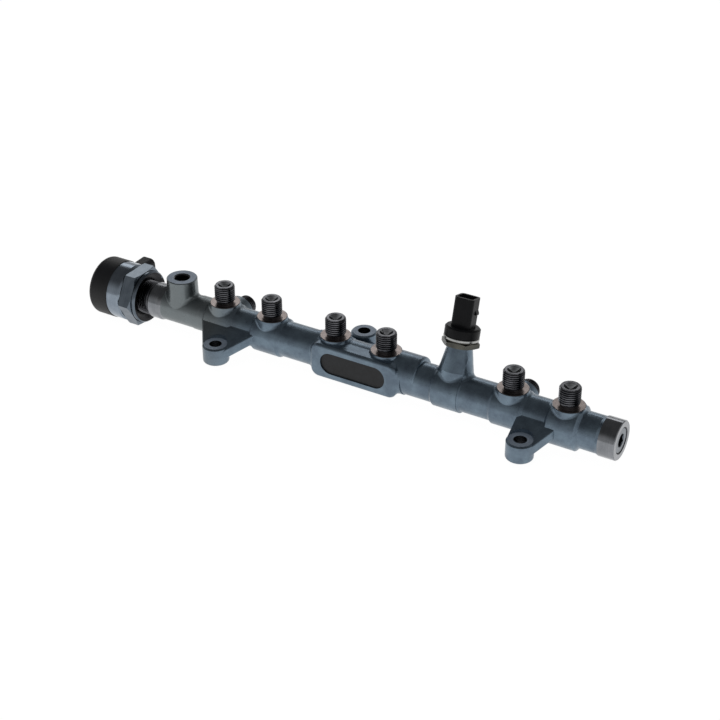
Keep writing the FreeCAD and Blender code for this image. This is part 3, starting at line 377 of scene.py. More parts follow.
@dataclass(frozen=True)
class Finishes:
    """Every finish on the rail, each named for what the real one is, or for the shade that it paints."""

    # Drop-forged steel, shot-blasted and phosphated: a dark blue-grey satin
    forged: ForgedFinish = ForgedFinish(
        "forged_phosphated_steel", "#5f6c79", "#72828f", rough=(0.27, 0.36), metallic=0.92,
        mottle_mm=9.0, grain_mm=0.9, grain_depth_mm=0.008)
    # Sealing seats faced after the coating: lighter, with a warm tint
    seat: TurnedFinish = TurnedFinish(
        "faced_seat_steel", "#837976", "#9b918d", rough=(0.24, 0.34), ring_mm=0.5, ring_depth_mm=0.001)
    # Bolt faces and the return port's face: faced, then coated again, which leaves them matt
    spot_face: TurnedFinish = TurnedFinish(
        "spot_faced_steel", "#757f8b", "#87919d", rough=(0.42, 0.55), metallic=0.55, ring_mm=0.5,
        ring_depth_mm=0.001)
    # Rolled threads: oiled steel, dark in the roots
    thread: TurnedFinish = TurnedFinish(
        "threaded_steel", "#3f4044", "#75767a", rough=(0.18, 0.3), ring_mm=0.6, ring_depth_mm=0.002)
    # Sealing cones in the nipples' mouths, finely turned: dark as painted shade of the mouths, with sharp
    # glints
    cone: TurnedFinish = TurnedFinish(
        "sealing_cone_painted_shade", "#55575a", "#a3a5a8", rough=(0.06, 0.11), ring_mm=0.4, ring_depth_mm=0.0006)
    # Inside of the drilled holes, twist-drilled, so dull; dark as painted shade, also in the gap round
    # the plug
    hole_shade: TurnedFinish = TurnedFinish(
        "drilled_hole_painted_shade", "#3a3b3f", "#4d4e52", rough=(0.3, 0.42), ring_mm=0.5, ring_depth_mm=0.002)
    # Mouth of the union nut: painted shade, nearly black for the shade inside it, with a soft sheen
    nut_mouth_shade: TurnedFinish = TurnedFinish(
        "nut_mouth_painted_shade", "#1b1b1d", "#2d2d30", rough=(0.25, 0.38), ring_mm=0.6, ring_depth_mm=0.002)
    # Plate field in the recess, blackened and bare: an even near-black satin
    blackened: GrainedFinish = GrainedFinish(
        "blackened_field", "#141517", "#1b1c1f", rough=(0.36, 0.5), metallic=0.4, mottle_mm=5.0,
        grain_mm=0.6, grain_depth_mm=0.006)
    # Ground ends of the tube: plain grey steel with tight highlights
    bright: TurnedFinish = TurnedFinish(
        "ground_steel", "#777a7e", "#8b8d91", rough=(0.14, 0.22), ring_mm=0.5, ring_depth_mm=0.0006)
    # Zinc-plated magnet housing: a bright blue-grey with long soft bands of light
    plated: TurnedFinish = TurnedFinish(
        "zinc_plated_steel", "#79838e", "#89939e", rough=(0.13, 0.2), ring_mm=0.9, ring_depth_mm=0.0006)
    # Zinc-plated union nut: the same plating, a little darker as painted shade for the dimmer light on
    # its top
    nut: TurnedFinish = TurnedFinish(
        "zinc_plated_nut_painted_shade", "#59626b", "#69727b", rough=(0.15, 0.22), ring_mm=0.9,
        ring_depth_mm=0.0006)
    # Screw plug, machined and oiled: mid-grey, its socket falls to black
    plug: TurnedFinish = TurnedFinish(
        "screw_plug_steel", "#555b62", "#6d747b", rough=(0.2, 0.3), ring_mm=0.6, ring_depth_mm=0.001)
    # Sensor port, stainless steel stained by its weld: an olive-grey
    sensor_hex: TurnedFinish = TurnedFinish(
        "sensor_port_steel", "#4a4b48", "#605f58", rough=(0.24, 0.34), ring_mm=0.6, ring_depth_mm=0.001)
    # Crimp ring, bare rolled stainless steel: the brightest line on the sensor
    ring: TurnedFinish = TurnedFinish(
        "crimp_ring_steel", "#939493", "#acadab", rough=(0.16, 0.24), ring_mm=0.5, ring_depth_mm=0.0006)
    # Valve cover, glass-filled polyamide from a spark-eroded mould: black with a fine matt grain
    plastic: GrainedFinish = GrainedFinish(
        "moulded_polyamide", "#101012", "#161618", rough=(0.42, 0.54), metallic=0.0, specular=0.3,
        mottle_mm=7.0, grain_mm=0.7, grain_depth_mm=0.008)
    # The sensor's housing, polyester from a smoother mould: deeper black with a faint gloss
    socket_plastic: GrainedFinish = GrainedFinish(
        "moulded_polyester", "#09090b", "#0f0f11", rough=(0.34, 0.44), metallic=0.0, specular=0.14,
        mottle_mm=7.0, grain_mm=0.7, grain_depth_mm=0.006)
    # Hidden pieces, seen only when the valve or the sensor is taken apart
    # Natural polyester: a warm cream
    bobbin: GrainedFinish = GrainedFinish(
        "bobbin_polyester", "#b7ae98", "#cbc3ae", rough=(0.45, 0.6), metallic=0.0, mottle_mm=6.0,
        grain_mm=0.6, grain_depth_mm=0.01)
    # Circuit board under its varnish: a glossy green
    board: GrainedFinish = GrainedFinish(
        "coated_laminate", "#12472a", "#1a5a36", rough=(0.3, 0.42), metallic=0.0, mottle_mm=3.0,
        grain_mm=0.5, grain_depth_mm=0.006)
    # Seal rings: a flat black
    rubber: GrainedFinish = GrainedFinish(
        "fluoro_rubber", "#141312", "#1d1b1a", rough=(0.55, 0.7), metallic=0.0, mottle_mm=4.0,
        grain_mm=0.5, grain_depth_mm=0.01)
    # Ground steel: a clean grey
    inner: GrainedFinish = GrainedFinish(
        "ground_inner_steel", "#7f8184", "#a1a3a5", rough=(0.2, 0.32), mottle_mm=5.0, grain_mm=0.5,
        grain_depth_mm=0.002)
    # Hard-drawn wire: dark, with a brown oxide
    spring: GrainedFinish = GrainedFinish(
        "drawn_spring_wire", "#3c3a38", "#5a5753", rough=(0.28, 0.4), mottle_mm=3.0, grain_mm=0.4,
        grain_depth_mm=0.004)
    # Enamelled winding: a clear red-brown
    copper: GrainedFinish = GrainedFinish(
        "enamelled_copper", "#8a4a24", "#b5672f", rough=(0.25, 0.38), mottle_mm=4.0, grain_mm=0.5,
        grain_depth_mm=0.02)
    # Tinned contacts: a soft warm white
    tin: GrainedFinish = GrainedFinish(
        "tinned_contact", "#b8b4ab", "#d8d5cd", rough=(0.2, 0.32), mottle_mm=3.0, grain_mm=0.4,
        grain_depth_mm=0.003)


def everything(mesh: Mesh) -> list:
    """Gives a mesh's corners, edges and faces in one list."""
    return mesh.verts[:] + mesh.edges[:] + mesh.faces[:]


def merged_copy(node: str) -> Mesh:
    """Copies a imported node's triangles and joins them into one skin.

    Args:
        node: The node's name.

    Returns:
        The joined mesh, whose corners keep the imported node's exact normals in a layer.
    """
    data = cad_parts[node].data
    mesh = bmesh.new()
    mesh.from_mesh(data)
    for layer in list(mesh.loops.layers.uv):
        mesh.loops.layers.uv.remove(layer)
    exact = mesh.loops.layers.float_vector.new(EXACT_NORMAL)
    for face in mesh.faces:
        for loop in face.loops:
            loop[exact] = data.corner_normals[loop.index].vector
    bmesh.ops.remove_doubles(mesh, verts=mesh.verts, dist=MERGE_MM * MM)
    bmesh.ops.dissolve_degenerate(mesh, edges=mesh.edges, dist=SLIVER_MM * MM)
    return mesh


def cut_away(mesh: Mesh, cutter: Mesh) -> Mesh:
    """Takes a closed cutter's shape off a mesh.

    Args:
        mesh: The mesh to cut, which is freed.
        cutter: The cutter, which is freed.

    Returns:
        The cut mesh.
    """
    things = []
    for name, shape in (("uncut", mesh), ("cutter", cutter)):
        data = bpy.data.meshes.new(name)
        shape.to_mesh(data)
        shape.free()
        things.append(bpy.data.objects.new(name, data))
        bpy.context.scene.collection.objects.link(things[-1])
    uncut, tool = things
    cut = uncut.modifiers.new("cut", "BOOLEAN")
    cut.operation = "DIFFERENCE"
    cut.solver = "EXACT"
    cut.object = tool
    result = bmesh.new()
    result.from_object(uncut, bpy.context.evaluated_depsgraph_get())
    for thing in things:
        bpy.data.objects.remove(thing)
    return result


def finish_piece(mesh: Mesh, name: str, materials: Iterable[bpy.types.Material],
                 sharp_degrees: float = 32.0, keep_normals: bool = False) -> bpy.types.Object:
    """Turns a bmesh into a smooth-shaded object.

    Args:
        mesh: The finished mesh, which is freed.
        name: The piece's name.
        materials: Its materials, in the order of its slots.
        sharp_degrees: Edges that turn more than this stay crisp.
        keep_normals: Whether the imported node's exact normals shade it.

    Returns:
        The new object.
    """
    limit = math.radians(sharp_degrees)
    for face in mesh.faces:
        face.smooth = True
    for edge in mesh.edges:
        edge.smooth = len(edge.link_faces) == 2 and edge.calc_face_angle(0.0) < limit
    data = bpy.data.meshes.new(name)
    mesh.to_mesh(data)
    mesh.free()
    exact = data.attributes.get(EXACT_NORMAL)
    if exact is not None:
        normals = [tuple(corner.vector) for corner in exact.data]
        data.attributes.remove(exact)
        if keep_normals:
            data.normals_split_custom_set(normals)
    for material in materials:
        data.materials.append(material)
    piece = bpy.data.objects.new(name, data)
    bpy.context.scene.collection.objects.link(piece)
    if not keep_normals:
        piece.modifiers.new("even_shading", "WEIGHTED_NORMAL").keep_sharp = True
    return piece


def map_turning(mesh: Mesh, line_of: Callable[[bmesh.types.BMFace], ToolLine]) -> None:
    """Writes the turning map: each corner's distance from the tool's line, and its height along it.

    Args:
        mesh: The mesh to map.
        line_of: Gives a face's line.
    """
    layer = mesh.loops.layers.uv.new(TURNING_MAP)
    for face in mesh.faces:
        line = line_of(face)
        for loop in face.loops:
            loop[layer].uv = line.place(loop.vert.co)


@dataclass
class ScrewThread:
    """Helical thread cut on one round face of the forging.

    Heights are along the thread's line from its foot, in millimetres. Outward is 1 for a thread
    on a rod and -1 for one in a hole, whose crest is nearer to the line than its root.
    """

    name: str
    line: ToolLine
    start: float
    rim: float
    sink_from: float
    crest_r: float = 7.0
    outward: int = 1
    depth: float = 0.92
    core_depth: float = 1.1
    pitch: float = 1.5
    chamfer: float = 0.9
    sides: int = 48
    run_out: float = 0.1
    face_slack: float = 0.1
    mouth_kept: float = 0.5

    @property
    def root_r(self) -> float:
        """Radius of the thread's root."""
        return self.crest_r - self.outward * self.depth

    @property
    def core_r(self) -> float:
        """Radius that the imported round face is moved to, just past the root."""
        return self.crest_r - self.outward * self.core_depth

    def sink_core(self, mesh: Mesh) -> None:
        """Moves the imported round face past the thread's roots, so that the thread stands clear of it.

        Args:
            mesh: The forging's mesh.
        """
        low, high = sorted((self.core_r, self.crest_r + self.face_slack * self.outward))
        top = self.rim + self.face_slack if self.outward > 0 else self.rim - self.mouth_kept
        for vert in mesh.verts:
            out, along = self.line.split(vert.co)
            if self.sink_from * MM < along < top * MM and low * MM < out.length < high * MM:
                middle = self.line.foot + along * self.line.direction
                vert.co = middle + out.normalized() * self.core_r * MM

    def profile(self) -> list[Vector]:
        """Draws the zigzag of roots and crests, from one pitch under the start to one over the rim.

        Returns:
            Its points in the XZ plane, in metres.
        """
        root, crest = self.root_r, self.crest_r
        tooth = [(root, 0.0), *zip((root, crest, crest, root), TOOTH_SHARES)]
        turns = range(-1, math.ceil((self.rim - self.start) / self.pitch) + 1)
        return [Vector((r, 0.0, self.start + (turn + share) * self.pitch)) * MM
                for turn in turns for r, share in tooth]

    def build(self) -> Mesh:
        """Spins the profile one turn while it rises one pitch, then trims both ends.

        Returns:
            The thread as an open skin over its core, in its place.
        """
        mesh = bmesh.new()
        verts = [mesh.verts.new(point) for point in self.profile()]
        edges = [mesh.edges.new(pair) for pair in zip(verts, verts[1:])]
        bmesh.ops.spin(mesh, geom=verts + edges, cent=(0, 0, 0), axis=(0, 0, 1), angle=math.tau,
                       dvec=(0, 0, self.pitch * MM / self.sides), steps=self.sides, use_merge=False)
        bmesh.ops.remove_doubles(mesh, verts=mesh.verts, dist=THREAD_MERGE_MM * MM)
        for height, normal in ((self.start, -1), (self.rim, 1)):
            bmesh.ops.bisect_plane(mesh, geom=everything(mesh), plane_co=(0, 0, height * MM),
                                   plane_no=(0, 0, normal), clear_outer=True, dist=SLIVER_MM * MM)
        for vert in mesh.verts:
            self.trim(vert)
        bmesh.ops.recalc_face_normals(mesh, faces=mesh.faces)
        facing = sum(face.normal.xy.dot(face.calc_center_median().xy) for face in mesh.faces)
        if facing * self.outward < 0:
            bmesh.ops.reverse_faces(mesh, faces=mesh.faces)
        turn = Axis.UP.value.rotation_difference(self.line.direction).to_matrix().to_4x4()
        bmesh.ops.transform(mesh, matrix=Matrix.Translation(self.line.foot) @ turn, verts=mesh.verts)
        map_turning(mesh, lambda face: self.line)
        return mesh

    def trim(self, vert: bmesh.types.BMVert) -> None:
        """Runs the thread out to its root at its start and at the rim's chamfer.

        Args:
            vert: A corner of the thread, before the thread is put in its place.
        """
        side, height = self.outward, vert.co.z / MM
        at_rim = self.crest_r - side * (self.chamfer - (self.rim - height))
        at_start = self.root_r - side * (self.run_out - (height - self.start))
        limit = min(at_rim * side, at_start * side) * side
        radius = math.hypot(vert.co.x, vert.co.y) / MM
        if radius * side > limit * side:
            vert.co.x *= limit / radius
            vert.co.y *= limit / radius


@dataclass(frozen=True)
class Nipple:
    """One threaded nipple: its line from the tube's axis, and its seat's and rim's heights."""

    name: str
    line: ToolLine
    seat: float
    rim: float


@dataclass
class RailForging:
    """The forging: its skin, the faces that were machined on it and its ten screw threads.

    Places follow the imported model, in millimetres. Heights count from the tube's axis, apart from
    the lugs' tops, which count from the bolt faces. A slack is how far the middle of a machined
    face's triangle may lie off that face.
    """

    finishes: Finishes
    layout: Layout
    outlets: tuple[float, ...] = (-124.2, -85.6, -35.2, 3.4, 94.9, 133.1)
    inlets: tuple[float, ...] = (-124.2, 94.9)
    outlet_seat: float = 14.7
    outlet_rim: float = 28.0
    inlet_seat: float = 18.0
    inlet_rim: float = 27.6
    undercut: float = 1.3
    seat_r: float = 10.5
    neck_r: float = 5.95
    cone_face_r: float = 4.15
    flat_slack: float = 0.15
    ring_slack: float = 0.02
    sink_over_seat: float = 0.2
    # Outlet 4, whose seat the collar beside it overlaps, and the ring-shaped cutter that clears it
    crowded_outlet: int = 3
    cutter_inner_r: float = 6.3
    cutter_lift: float = 0.01
    cutter_height: float = 3.0
    cutter_sides: int = 96
    # Bolt lugs and the rear boss: x, y and top
    lugs: tuple[tuple[float, float, float], ...] = (
        (-114.0, 0.0, 12.85), (114.0, 0.0, 12.85), (-29.5, 54.8, 21.0))
    lug_hole_r: float = 4.5
    spot_r: float = 8.15
    boss_slack: float = 0.3
    edge_slack: float = 0.1
    return_x: float = -160.3
    return_top: float = 23.8
    return_top_slack: float = 0.05
    return_face_r: float = 10.8
    return_port_r: float = 5.9
    return_port_low: float = 5.0
    return_thread_start: float = 12.4
    return_thread_sink: float = 1.0
    return_crest_r: float = 5.25
    return_depth: float = 0.75
    return_core_depth: float = 0.8
    spigot_end: float = -196.5
    spigot_root: float = -182.8
    spigot_run_in: float = 1.2
    spigot_r: float = 12.0
    spigot_to: float = -172.2
    spigot_thread_sides: int = 64
    large_chamfer: float = 0.6
    ground_from: float = 158.5
    plug_hole_r: float = 9.1
    sensor_top: float = 29.8
    sensor_reach: float = 12.0
    recess_x: float = -14.5
    recess_y: float = -13.1
    recess_half_length: float = 24.5
    recess_half_height: float = 7.8
    # A unit normal with this much of it to the front belongs to the field's floor
    floor_square: float = 0.9

    @cached_property
    def nipples(self) -> list[Nipple]:
        """Lists the threaded nipples: the upright outlets, then the inlets at the back."""
        kinds = (("outlet", self.outlets, Axis.UP, self.outlet_seat, self.outlet_rim),
                 ("inlet", self.inlets, Axis.BACK, self.inlet_seat, self.inlet_rim))
        return [Nipple(f"{kind}_thread_{index + 1}", self.layout.line(x, axis.value), seat, rim)
                for kind, places, axis, seat, rim in kinds for index, x in enumerate(places)]

    @cached_property
    def return_line(self) -> ToolLine:
        """The return port's upright line."""
        return self.layout.line(self.return_x, Axis.UP.value)

    def threads(self) -> list[ScrewThread]:
        """Lists all threads in sight: eight nipples, the valve's spigot and the return port.

        Returns:
            The threads.
        """
        rows = [ScrewThread(nipple.name, nipple.line, nipple.seat + self.undercut, nipple.rim,
                            nipple.seat + self.sink_over_seat) for nipple in self.nipples]
        towards_valve = ToolLine(self.layout.tube.foot, -Axis.ALONG.value)
        rows.append(ScrewThread(
            "spigot_thread", towards_valve, self.spigot_run_in - self.spigot_root, -self.spigot_end,
            -self.spigot_root - self.edge_slack, self.spigot_r, chamfer=self.large_chamfer,
            sides=self.spigot_thread_sides))
        rows.append(ScrewThread(
            "return_thread", self.return_line, self.return_thread_start, self.return_top,
            self.return_thread_start - self.return_thread_sink, self.return_crest_r, outward=-1,
            depth=self.return_depth, core_depth=self.return_core_depth, chamfer=self.large_chamfer))
        return rows

    def seat_cutter(self) -> Mesh:
        """Spins the ring-shaped cutter that clears what stands above the crowded outlet's seat.

        Returns:
            The closed cutter, in its place.
        """
        low = self.outlet_seat + self.cutter_lift
        high = low + self.cutter_height
        corners = [(self.cutter_inner_r, low), (self.seat_r, low), (self.seat_r, high),
                   (self.cutter_inner_r, high)]
        mesh = bmesh.new()
        verts = [mesh.verts.new(Vector((r, 0.0, z)) * MM) for r, z in corners]
        edges = [mesh.edges.new(pair) for pair in zip(verts, verts[1:] + verts[:1])]
        bmesh.ops.spin(mesh, geom=verts + edges, cent=(0, 0, 0), axis=(0, 0, 1), angle=math.tau,
                       steps=self.cutter_sides, use_merge=True)
        bmesh.ops.remove_doubles(mesh, verts=mesh.verts, dist=SLIVER_MM * MM)
        bmesh.ops.recalc_face_normals(mesh, faces=mesh.faces)
        bmesh.ops.translate(mesh, verts=mesh.verts, vec=self.nipples[self.crowded_outlet].line.foot)
        return mesh

    def nipple_skin(self, facet: Facet) -> Found:
        """Finds a nipple's seat, thread ground or cone.

        Args:
            facet: The face.

        Returns:
            Its skin and line, or None.
        """
        for nipple in self.nipples:
            out, height = facet.from_line(nipple.line)
            if height > nipple.seat - self.flat_slack and out < self.seat_r + self.ring_slack:
                if out >= self.neck_r:
                    return Skin.SEAT, nipple.line
                # The sealing cone, inside cone_face_r, takes a finish darkened by painted shade
                return (Skin.CONE if out < self.cone_face_r else Skin.THREAD), nipple.line
        return None

    def lug_skin(self, facet: Facet) -> Found:
        """Finds a bolt hole or a bolt face.

        Args:
            facet: The face.

        Returns:
            Its skin and line, or None.
        """
        flat = abs(facet.normal.z) > SQUARE
        for x, y, top in self.lugs:
            line = ToolLine(Vector((x, y, 0.0)) * MM, Axis.UP.value)
            out, height = facet.from_line(line)
            # A bolt hole's wall is darkened by painted shade
            if out < self.lug_hole_r and not flat:
                return Skin.HOLE_SHADE, line
            spot = out < self.spot_r and height > top - self.boss_slack
            if flat and (spot or height < self.edge_slack):
                return Skin.SPOT_FACE, line
        return None

    def return_skin(self, facet: Facet) -> Found:
        """Finds the return port's bore or face.

        Args:
            facet: The face.

        Returns:
            Its skin and line, or None.
        """
        out, height = facet.from_line(self.return_line)
        steep = abs(facet.normal.z) < SQUARE
        if out < self.return_port_r and height > self.return_port_low and steep:
            return Skin.THREAD, self.return_line
        if out < self.return_face_r and height > self.return_top - self.return_top_slack:
            return Skin.SPOT_FACE, self.return_line
        return None

    def end_skin(self, facet: Facet) -> Found:
        """Finds the tube's machined ends: ground on the right, ground and threaded on the left.

        Args:
            facet: The face.

        Returns:
            Its skin and line, or None.
        """
        tube = self.layout.tube
        out, along = facet.from_line(tube)
        if along > self.ground_from:
            # The gap round the plug is darkened by painted shade, like the holes
            gap = out < self.plug_hole_r and facet.normal.x < SQUARE
            return (Skin.HOLE_SHADE if gap else Skin.BRIGHT), tube
        if along < self.spigot_to:
            cut = along < self.spigot_root - self.edge_slack
            return (Skin.THREAD if cut else Skin.BRIGHT), tube
        return None

    def sensor_skin(self, facet: Facet) -> Found:
        """Finds the sensor boss's face.

        Args:
            facet: The face.

        Returns:
            Its skin and line, or None.
        """
        line = self.layout.sensor
        _, height = facet.from_line(line)
        near = abs(facet.centre.x - line.foot.x) < self.sensor_reach * MM
        if near and height > self.sensor_top - self.boss_slack:
            return Skin.SPOT_FACE, line
        return None

    def recess_skin(self, facet: Facet) -> Found:
        """Finds the plate field in the recess.

        Args:
            facet: The face.

        Returns:
            Its skin and line, or None.
        """
        tube = self.layout.tube
        spot = (facet.centre - tube.foot) / MM
        inside_x = abs(spot.x - self.recess_x) < self.recess_half_length
        inside_z = abs(spot.z) < self.recess_half_height
        on_floor = abs(spot.y - self.recess_y) < self.flat_slack and facet.normal.y < -self.floor_square
        return (Skin.BLACKENED, tube) if inside_x and inside_z and on_floor else None

    def skin_of(self, facet: Facet) -> tuple[Skin, ToolLine]:
        """Finds which finish a face has, and the line that its tool marks run round.

        Args:
            facet: The face.

        Returns:
            The skin and the line.
        """
        for finder in (self.nipple_skin, self.lug_skin, self.return_skin, self.end_skin,
                       self.sensor_skin, self.recess_skin):
            found = finder(facet)
            if found:
                return found
        return Skin.FORGED, self.layout.tube

    def dress(self) -> list[bpy.types.Object]:
        """Builds the forging's skin and its threads.

        Returns:
            The new pieces.
        """
        mesh = merged_copy("rail_body")
        threads = self.threads()
        for thread in threads:
            thread.sink_core(mesh)
        mesh = cut_away(mesh, self.seat_cutter())
        bmesh.ops.bisect_plane(mesh, geom=everything(mesh), plane_co=(self.spigot_to * MM, 0, 0),
                               plane_no=(1, 0, 0), dist=SLIVER_MM * MM)
        mesh.normal_update()
        mesh.faces.index_update()
        lines = []
        for face in mesh.faces:
            skin, line = self.skin_of(Facet(face.calc_center_median(), face.normal))
            face.material_index = skin.value
            lines.append(line)
        map_turning(mesh, lambda face: lines[face.index])
        materials = [getattr(self.finishes, skin.name.lower()).build() for skin in Skin]
        body = finish_piece(mesh, "rail_forging", materials, keep_normals=True)
        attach(body, "rail")
        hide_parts("rail_body")
        pieces = [body]
        for thread in threads:
            piece = finish_piece(thread.build(), thread.name, [materials[Skin.THREAD.value]],
                                 sharp_degrees=40.0)
            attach(piece, "rail")
            pieces.append(piece)
        return pieces


@dataclass
class TurnedPart:
    """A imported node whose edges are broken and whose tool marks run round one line.

    It may have a second finish, for faces nearer to the line than inside_r, in millimetres. Edges
    that turn less than flat_degrees are dissolved, and those over crisp_degrees are bevelled.
    """

    node: str
    name: str
    body: str
    line: ToolLine
    slot: str
    finishes: tuple[Finish, ...]
    edge_mm: float
    inside_r: float = 0.0
    crisp_degrees: float = 30.0
    flat_degrees: float = 0.4

    def dress(self) -> bpy.types.Object:
        """Copies the node, bevels its crisp edges and gives it its finish.

        Returns:
            The new piece, which replaces the node.
        """
        mesh = merged_copy(self.node)
        bmesh.ops.dissolve_limit(mesh, angle_limit=math.radians(self.flat_degrees), verts=mesh.verts,
                                 edges=mesh.edges)
        limit = math.radians(self.crisp_degrees)
        crisp = [e for e in mesh.edges if len(e.link_faces) == 2 and e.calc_face_angle(0.0) > limit]
        bmesh.ops.bevel(mesh, geom=crisp, offset=self.edge_mm * MM, offset_type="OFFSET", segments=2,
                        profile=0.5, affect="EDGES", clamp_overlap=True, material=-1)
        map_turning(mesh, lambda face: self.line)
        for face in mesh.faces:
            out, _ = self.line.place(face.calc_center_median())
            face.material_index = int(out < self.inside_r * MM)
        piece = finish_piece(mesh, self.name, [finish.build() for finish in self.finishes])
        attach(piece, self.body)
        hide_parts(self.node)
        return piece


@dataclass
class Fittings:
    """The parts screwed into or onto the forging: plug, sensor and control valve."""

    finishes: Finishes
    layout: Layout

    @property
    def axis(self) -> Vector:
        """Foot of the tube's axis."""
        return self.layout.tube.foot

    def dress(self) -> list[bpy.types.Object]:
        """Builds the visible turned and moulded parts.

        Returns:
            The new pieces.
        """
        fin, tube, sensor = self.finishes, self.layout.tube, self.layout.sensor
        parts = (
            TurnedPart("end_plug", "screw_plug", "rail", tube, "plug_steel", (fin.plug,), edge_mm=0.12),
            TurnedPart("sensor_port", "sensor_hexagon", "rail", sensor, "sensor_steel", (fin.sensor_hex,),
                       edge_mm=0.15),
            TurnedPart("sensor_ring", "sensor_crimp_ring", "rail", sensor, "ring_steel", (fin.ring,),
                       edge_mm=0.12),
            TurnedPart("sensor_connector", "sensor_plug_housing", "rail", sensor, "black_plastic",
                       (fin.socket_plastic,), edge_mm=0.2),
            # The nut's mouth, nearer the line than 16.9 mm, takes the nearly black painted shade
            # The whole nut is a little darker than the can, as painted shade
            TurnedPart("valve_union_nut", "union_nut", "rail", tube, "valve_steel", (fin.nut, fin.nut_mouth_shade),
                       edge_mm=0.25, inside_r=16.9),
            TurnedPart("valve_can", "magnet_housing", "rail", tube, "valve_steel", (fin.plated,),
                       edge_mm=0.15),
            TurnedPart("valve_cap", "valve_cover", "rail", tube, "black_plastic", (fin.plastic,),
                       edge_mm=0.2),
        )
        return [part.dress() for part in parts]

    def dress_spring(self) -> bpy.types.Object:
        """Makes the closing spring.

        Returns:
            The new piece, which replaces the node.
        """
        materials = [self.finishes.spring.build()]
        piece = finish_piece(merged_copy("valve_spring"), "closing_spring", materials, keep_normals=True)
        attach(piece, "rail")
        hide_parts("valve_spring")
        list(self.axis.yz)
        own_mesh(piece)
        return piece

    def dress_inside(self) -> None:
        """Gives each hidden node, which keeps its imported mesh, its own finish."""
        fin = self.finishes
        kinds = (
            (fin.inner, ["sensor_cell", "valve_body", "valve_ball", "valve_pin", "valve_armature",
                         "valve_end_stop", "valve_sleeve"]),
            (fin.board, ["sensor_board"]),
            (fin.rubber, ["sensor_seal", "valve_o_ring"]),
            (fin.bobbin, ["valve_bobbin"]),
            (fin.copper, ["valve_coil"]),
            (fin.tin, ["sensor_pin_1", "sensor_pin_2", "sensor_pin_3", "valve_terminal_1",
                       "valve_terminal_2"]),
        )
        for finish, nodes in kinds:
            material = finish.build()
            for node in nodes:
                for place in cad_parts[node].material_slots:
                    place.material = material


def facing(place: Vector, aim: Vector) -> Matrix:
    """Gives the matrix of a lamp or camera at a place, which looks at a point with +Z up."""
    return Matrix.Translation(place) @ (aim - place).to_track_quat("-Z", "Y").to_matrix().to_4x4()


@dataclass(frozen=True)
class SoftBox:
    """One rectangular lamp. Its place and its width and height are in metres."""

    name: str
    place: tuple[float, float, float]
    size: tuple[float, float]
    watts: float
    mirrored: bool

    def build(self, aim: Vector) -> None:
        """Hangs the lamp, which metal shows only where it is mirrored.

        Args:
            aim: The point that it faces, in metres.
        """
        light = bpy.data.lights.new(self.name, "AREA")
        light.shape = "RECTANGLE"
        light.size, light.size_y = self.size
        light.energy = self.watts
        lamp = bpy.data.objects.new(self.name, light)
        lamp.matrix_world = facing(Vector(self.place), aim)
        lamp.visible_glossy = self.mirrored
        bpy.context.scene.collection.objects.link(lamp)


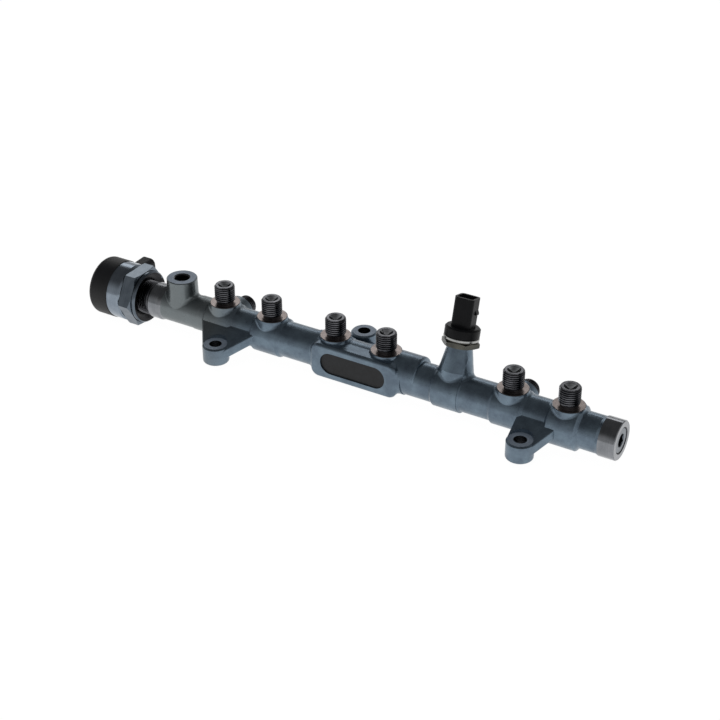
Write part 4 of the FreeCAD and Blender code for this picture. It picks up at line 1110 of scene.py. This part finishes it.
@dataclass
class Studio:
    """Pale floor, dim surround with a backdrop, soft lamps and the camera at the photograph's view.

    Backdrop heights are the upward part of a unit ray.
    """

    eye: Vector = Vector((436.25, -733.2, 543.8)) * MM
    target: Vector = Vector((-16.51, 27.4, 15.711)) * MM
    lens_mm: float = 77.95
    sensor_mm: float = 36.0
    clip_m: tuple[float, float] = (0.05, 50.0)
    floor_half_m: float = 6.0
    floor_drop_m: float = 0.0002
    floor_paint: str = "#f4f4f4"
    floor_glow: float = 1.035
    floor_glow_share: float = 0.95
    surround_tint: str = "#e3e8ee"
    surround_level: float = 0.45
    backdrop_level: float = 0.52
    backdrop_full: float = 0.2
    backdrop_end: float = 0.72
    ceiling_level: float = 0.1
    lamp_aim: Vector = Vector((0.0, 0.02, 0.02))
    lamps: tuple[SoftBox, ...] = (
        SoftBox("top_box", (0.3, -0.7, 1.6), (1.4, 1.0), watts=12.0, mirrored=False),
        SoftBox("back_box", (-0.9, 1.5, 0.9), (1.4, 0.5), watts=3.0, mirrored=True))

    @staticmethod
    def sight(tree: Tree) -> Socket:
        """Tells the rays of the eye, straight or through metal and glass, from all others.

        Args:
            tree: The node tree.

        Returns:
            A value of 1 for camera, glossy and transmission rays, and 0 for the rest.
        """
        path = add_node(tree, "ShaderNodeLightPath")
        mirrored = add_node(tree, "ShaderNodeMath", {"operation": "ADD", "use_clamp": True},
                            {0: path.outputs["Is Glossy Ray"], 1: path.outputs["Is Transmission Ray"]})
        return add_node(tree, "ShaderNodeMath", {"operation": "MAXIMUM"},
                        {0: path.outputs["Is Camera Ray"], 1: mirrored.outputs[0]}).outputs[0]

    def build_floor(self) -> None:
        """Lays a pale floor just under the rail's lowest point, which keeps the rail's shadow."""
        mesh = bmesh.new()
        bmesh.ops.create_grid(mesh, x_segments=1, y_segments=1, size=self.floor_half_m)
        bmesh.ops.translate(mesh, verts=mesh.verts, vec=(0, 0, CAD_BOX[0][2] - self.floor_drop_m))
        material, tree = new_material("studio_floor")
        paint = add_node(tree, "ShaderNodeBsdfDiffuse", feeds={"Color": linear(self.floor_paint)})
        glow = add_node(tree, "ShaderNodeEmission",
                        feeds={"Color": (1, 1, 1, 1), "Strength": self.floor_glow})
        share = add_node(tree, "ShaderNodeMath", {"operation": "MULTIPLY"},
                         {0: self.sight(tree), 1: self.floor_glow_share})
        mixed = add_node(tree, "ShaderNodeMixShader",
                         feeds={0: share.outputs[0], 1: paint.outputs[0], 2: glow.outputs[0]})
        add_node(tree, "ShaderNodeOutputMaterial", feeds={"Surface": mixed.outputs["Shader"]})
        data = bpy.data.meshes.new("studio_floor")
        mesh.to_mesh(data)
        mesh.free()
        data.materials.append(material)
        floor = bpy.data.objects.new("studio_floor", data)
        bpy.context.scene.collection.objects.link(floor)

    def build_world(self) -> None:
        """Makes a dim surround, where the eye sees white and metal a backdrop under a dark ceiling."""
        world = bpy.data.worlds.new("studio_surround")
        bpy.context.scene.world = world
        world.use_nodes = True
        tree = world.node_tree
        tree.nodes.clear()
        way = add_node(tree, "ShaderNodeTexCoord").outputs["Generated"]
        rise = add_node(tree, "ShaderNodeSeparateXYZ", feeds={"Vector": way}).outputs["Z"]
        backdrop = add_node(tree, "ShaderNodeMapRange", {"interpolation_type": "SMOOTHSTEP"},
                            {"Value": rise, "From Min": self.backdrop_full, "From Max": self.backdrop_end,
                             "To Min": self.backdrop_level, "To Max": self.ceiling_level})
        camera = add_node(tree, "ShaderNodeLightPath").outputs["Is Camera Ray"]
        level = add_node(tree, "ShaderNodeMath", {"operation": "MAXIMUM"},
                         {0: backdrop.outputs["Result"], 1: camera})
        white = add_node(tree, "ShaderNodeBackground",
                         feeds={"Color": (1, 1, 1, 1), "Strength": level.outputs[0]})
        dim = add_node(tree, "ShaderNodeBackground",
                       feeds={"Color": linear(self.surround_tint), "Strength": self.surround_level})
        mixed = add_node(tree, "ShaderNodeMixShader",
                         feeds={0: self.sight(tree), 1: dim.outputs[0], 2: white.outputs[0]})
        add_node(tree, "ShaderNodeOutputWorld", feeds={"Surface": mixed.outputs["Shader"]})

    def build_camera(self) -> None:
        """Sets the camera at the photograph's eye point, with its lens."""
        view = bpy.data.cameras.new("photo_camera")
        view.lens = self.lens_mm
        view.sensor_width = self.sensor_mm
        view.sensor_fit = "HORIZONTAL"
        view.clip_start, view.clip_end = self.clip_m
        camera = bpy.data.objects.new("photo_camera", view)
        camera.matrix_world = facing(self.eye, self.target)
        bpy.context.scene.collection.objects.link(camera)
        bpy.context.scene.camera = camera

    def build(self) -> None:
        """Sets the whole studio up."""
        bpy.context.scene.view_settings.view_transform = "Standard"
        self.build_floor()
        self.build_world()
        for lamp in self.lamps:
            lamp.build(self.lamp_aim)
        self.build_camera()


def count_triangles() -> int:
    """Counts the triangles of all shown meshes.

    Returns:
        Their number.
    """
    meshes = [thing for thing in bpy.context.scene.objects if thing.type == "MESH"]
    shown = [thing.data for thing in meshes if not thing.hide_render]
    return sum(len(face.vertices) - 2 for data in shown for face in data.polygons)


def main() -> None:
    """Builds the rail's finishes, its parts and the studio, in that order."""
    logging.basicConfig(level=logging.INFO, format="%(message)s")
    finishes, layout = Finishes(), Layout()
    pieces = RailForging(finishes, layout).dress()
    fittings = Fittings(finishes, layout)
    pieces += fittings.dress() + [fittings.dress_spring()]
    fittings.dress_inside()
    for piece in pieces:
        LOG.info("%s: %d faces", piece.name, len(piece.data.polygons))
    Studio().build()
    LOG.info("shown triangles: %d", count_triangles())


if __name__ == "__main__":
    main()
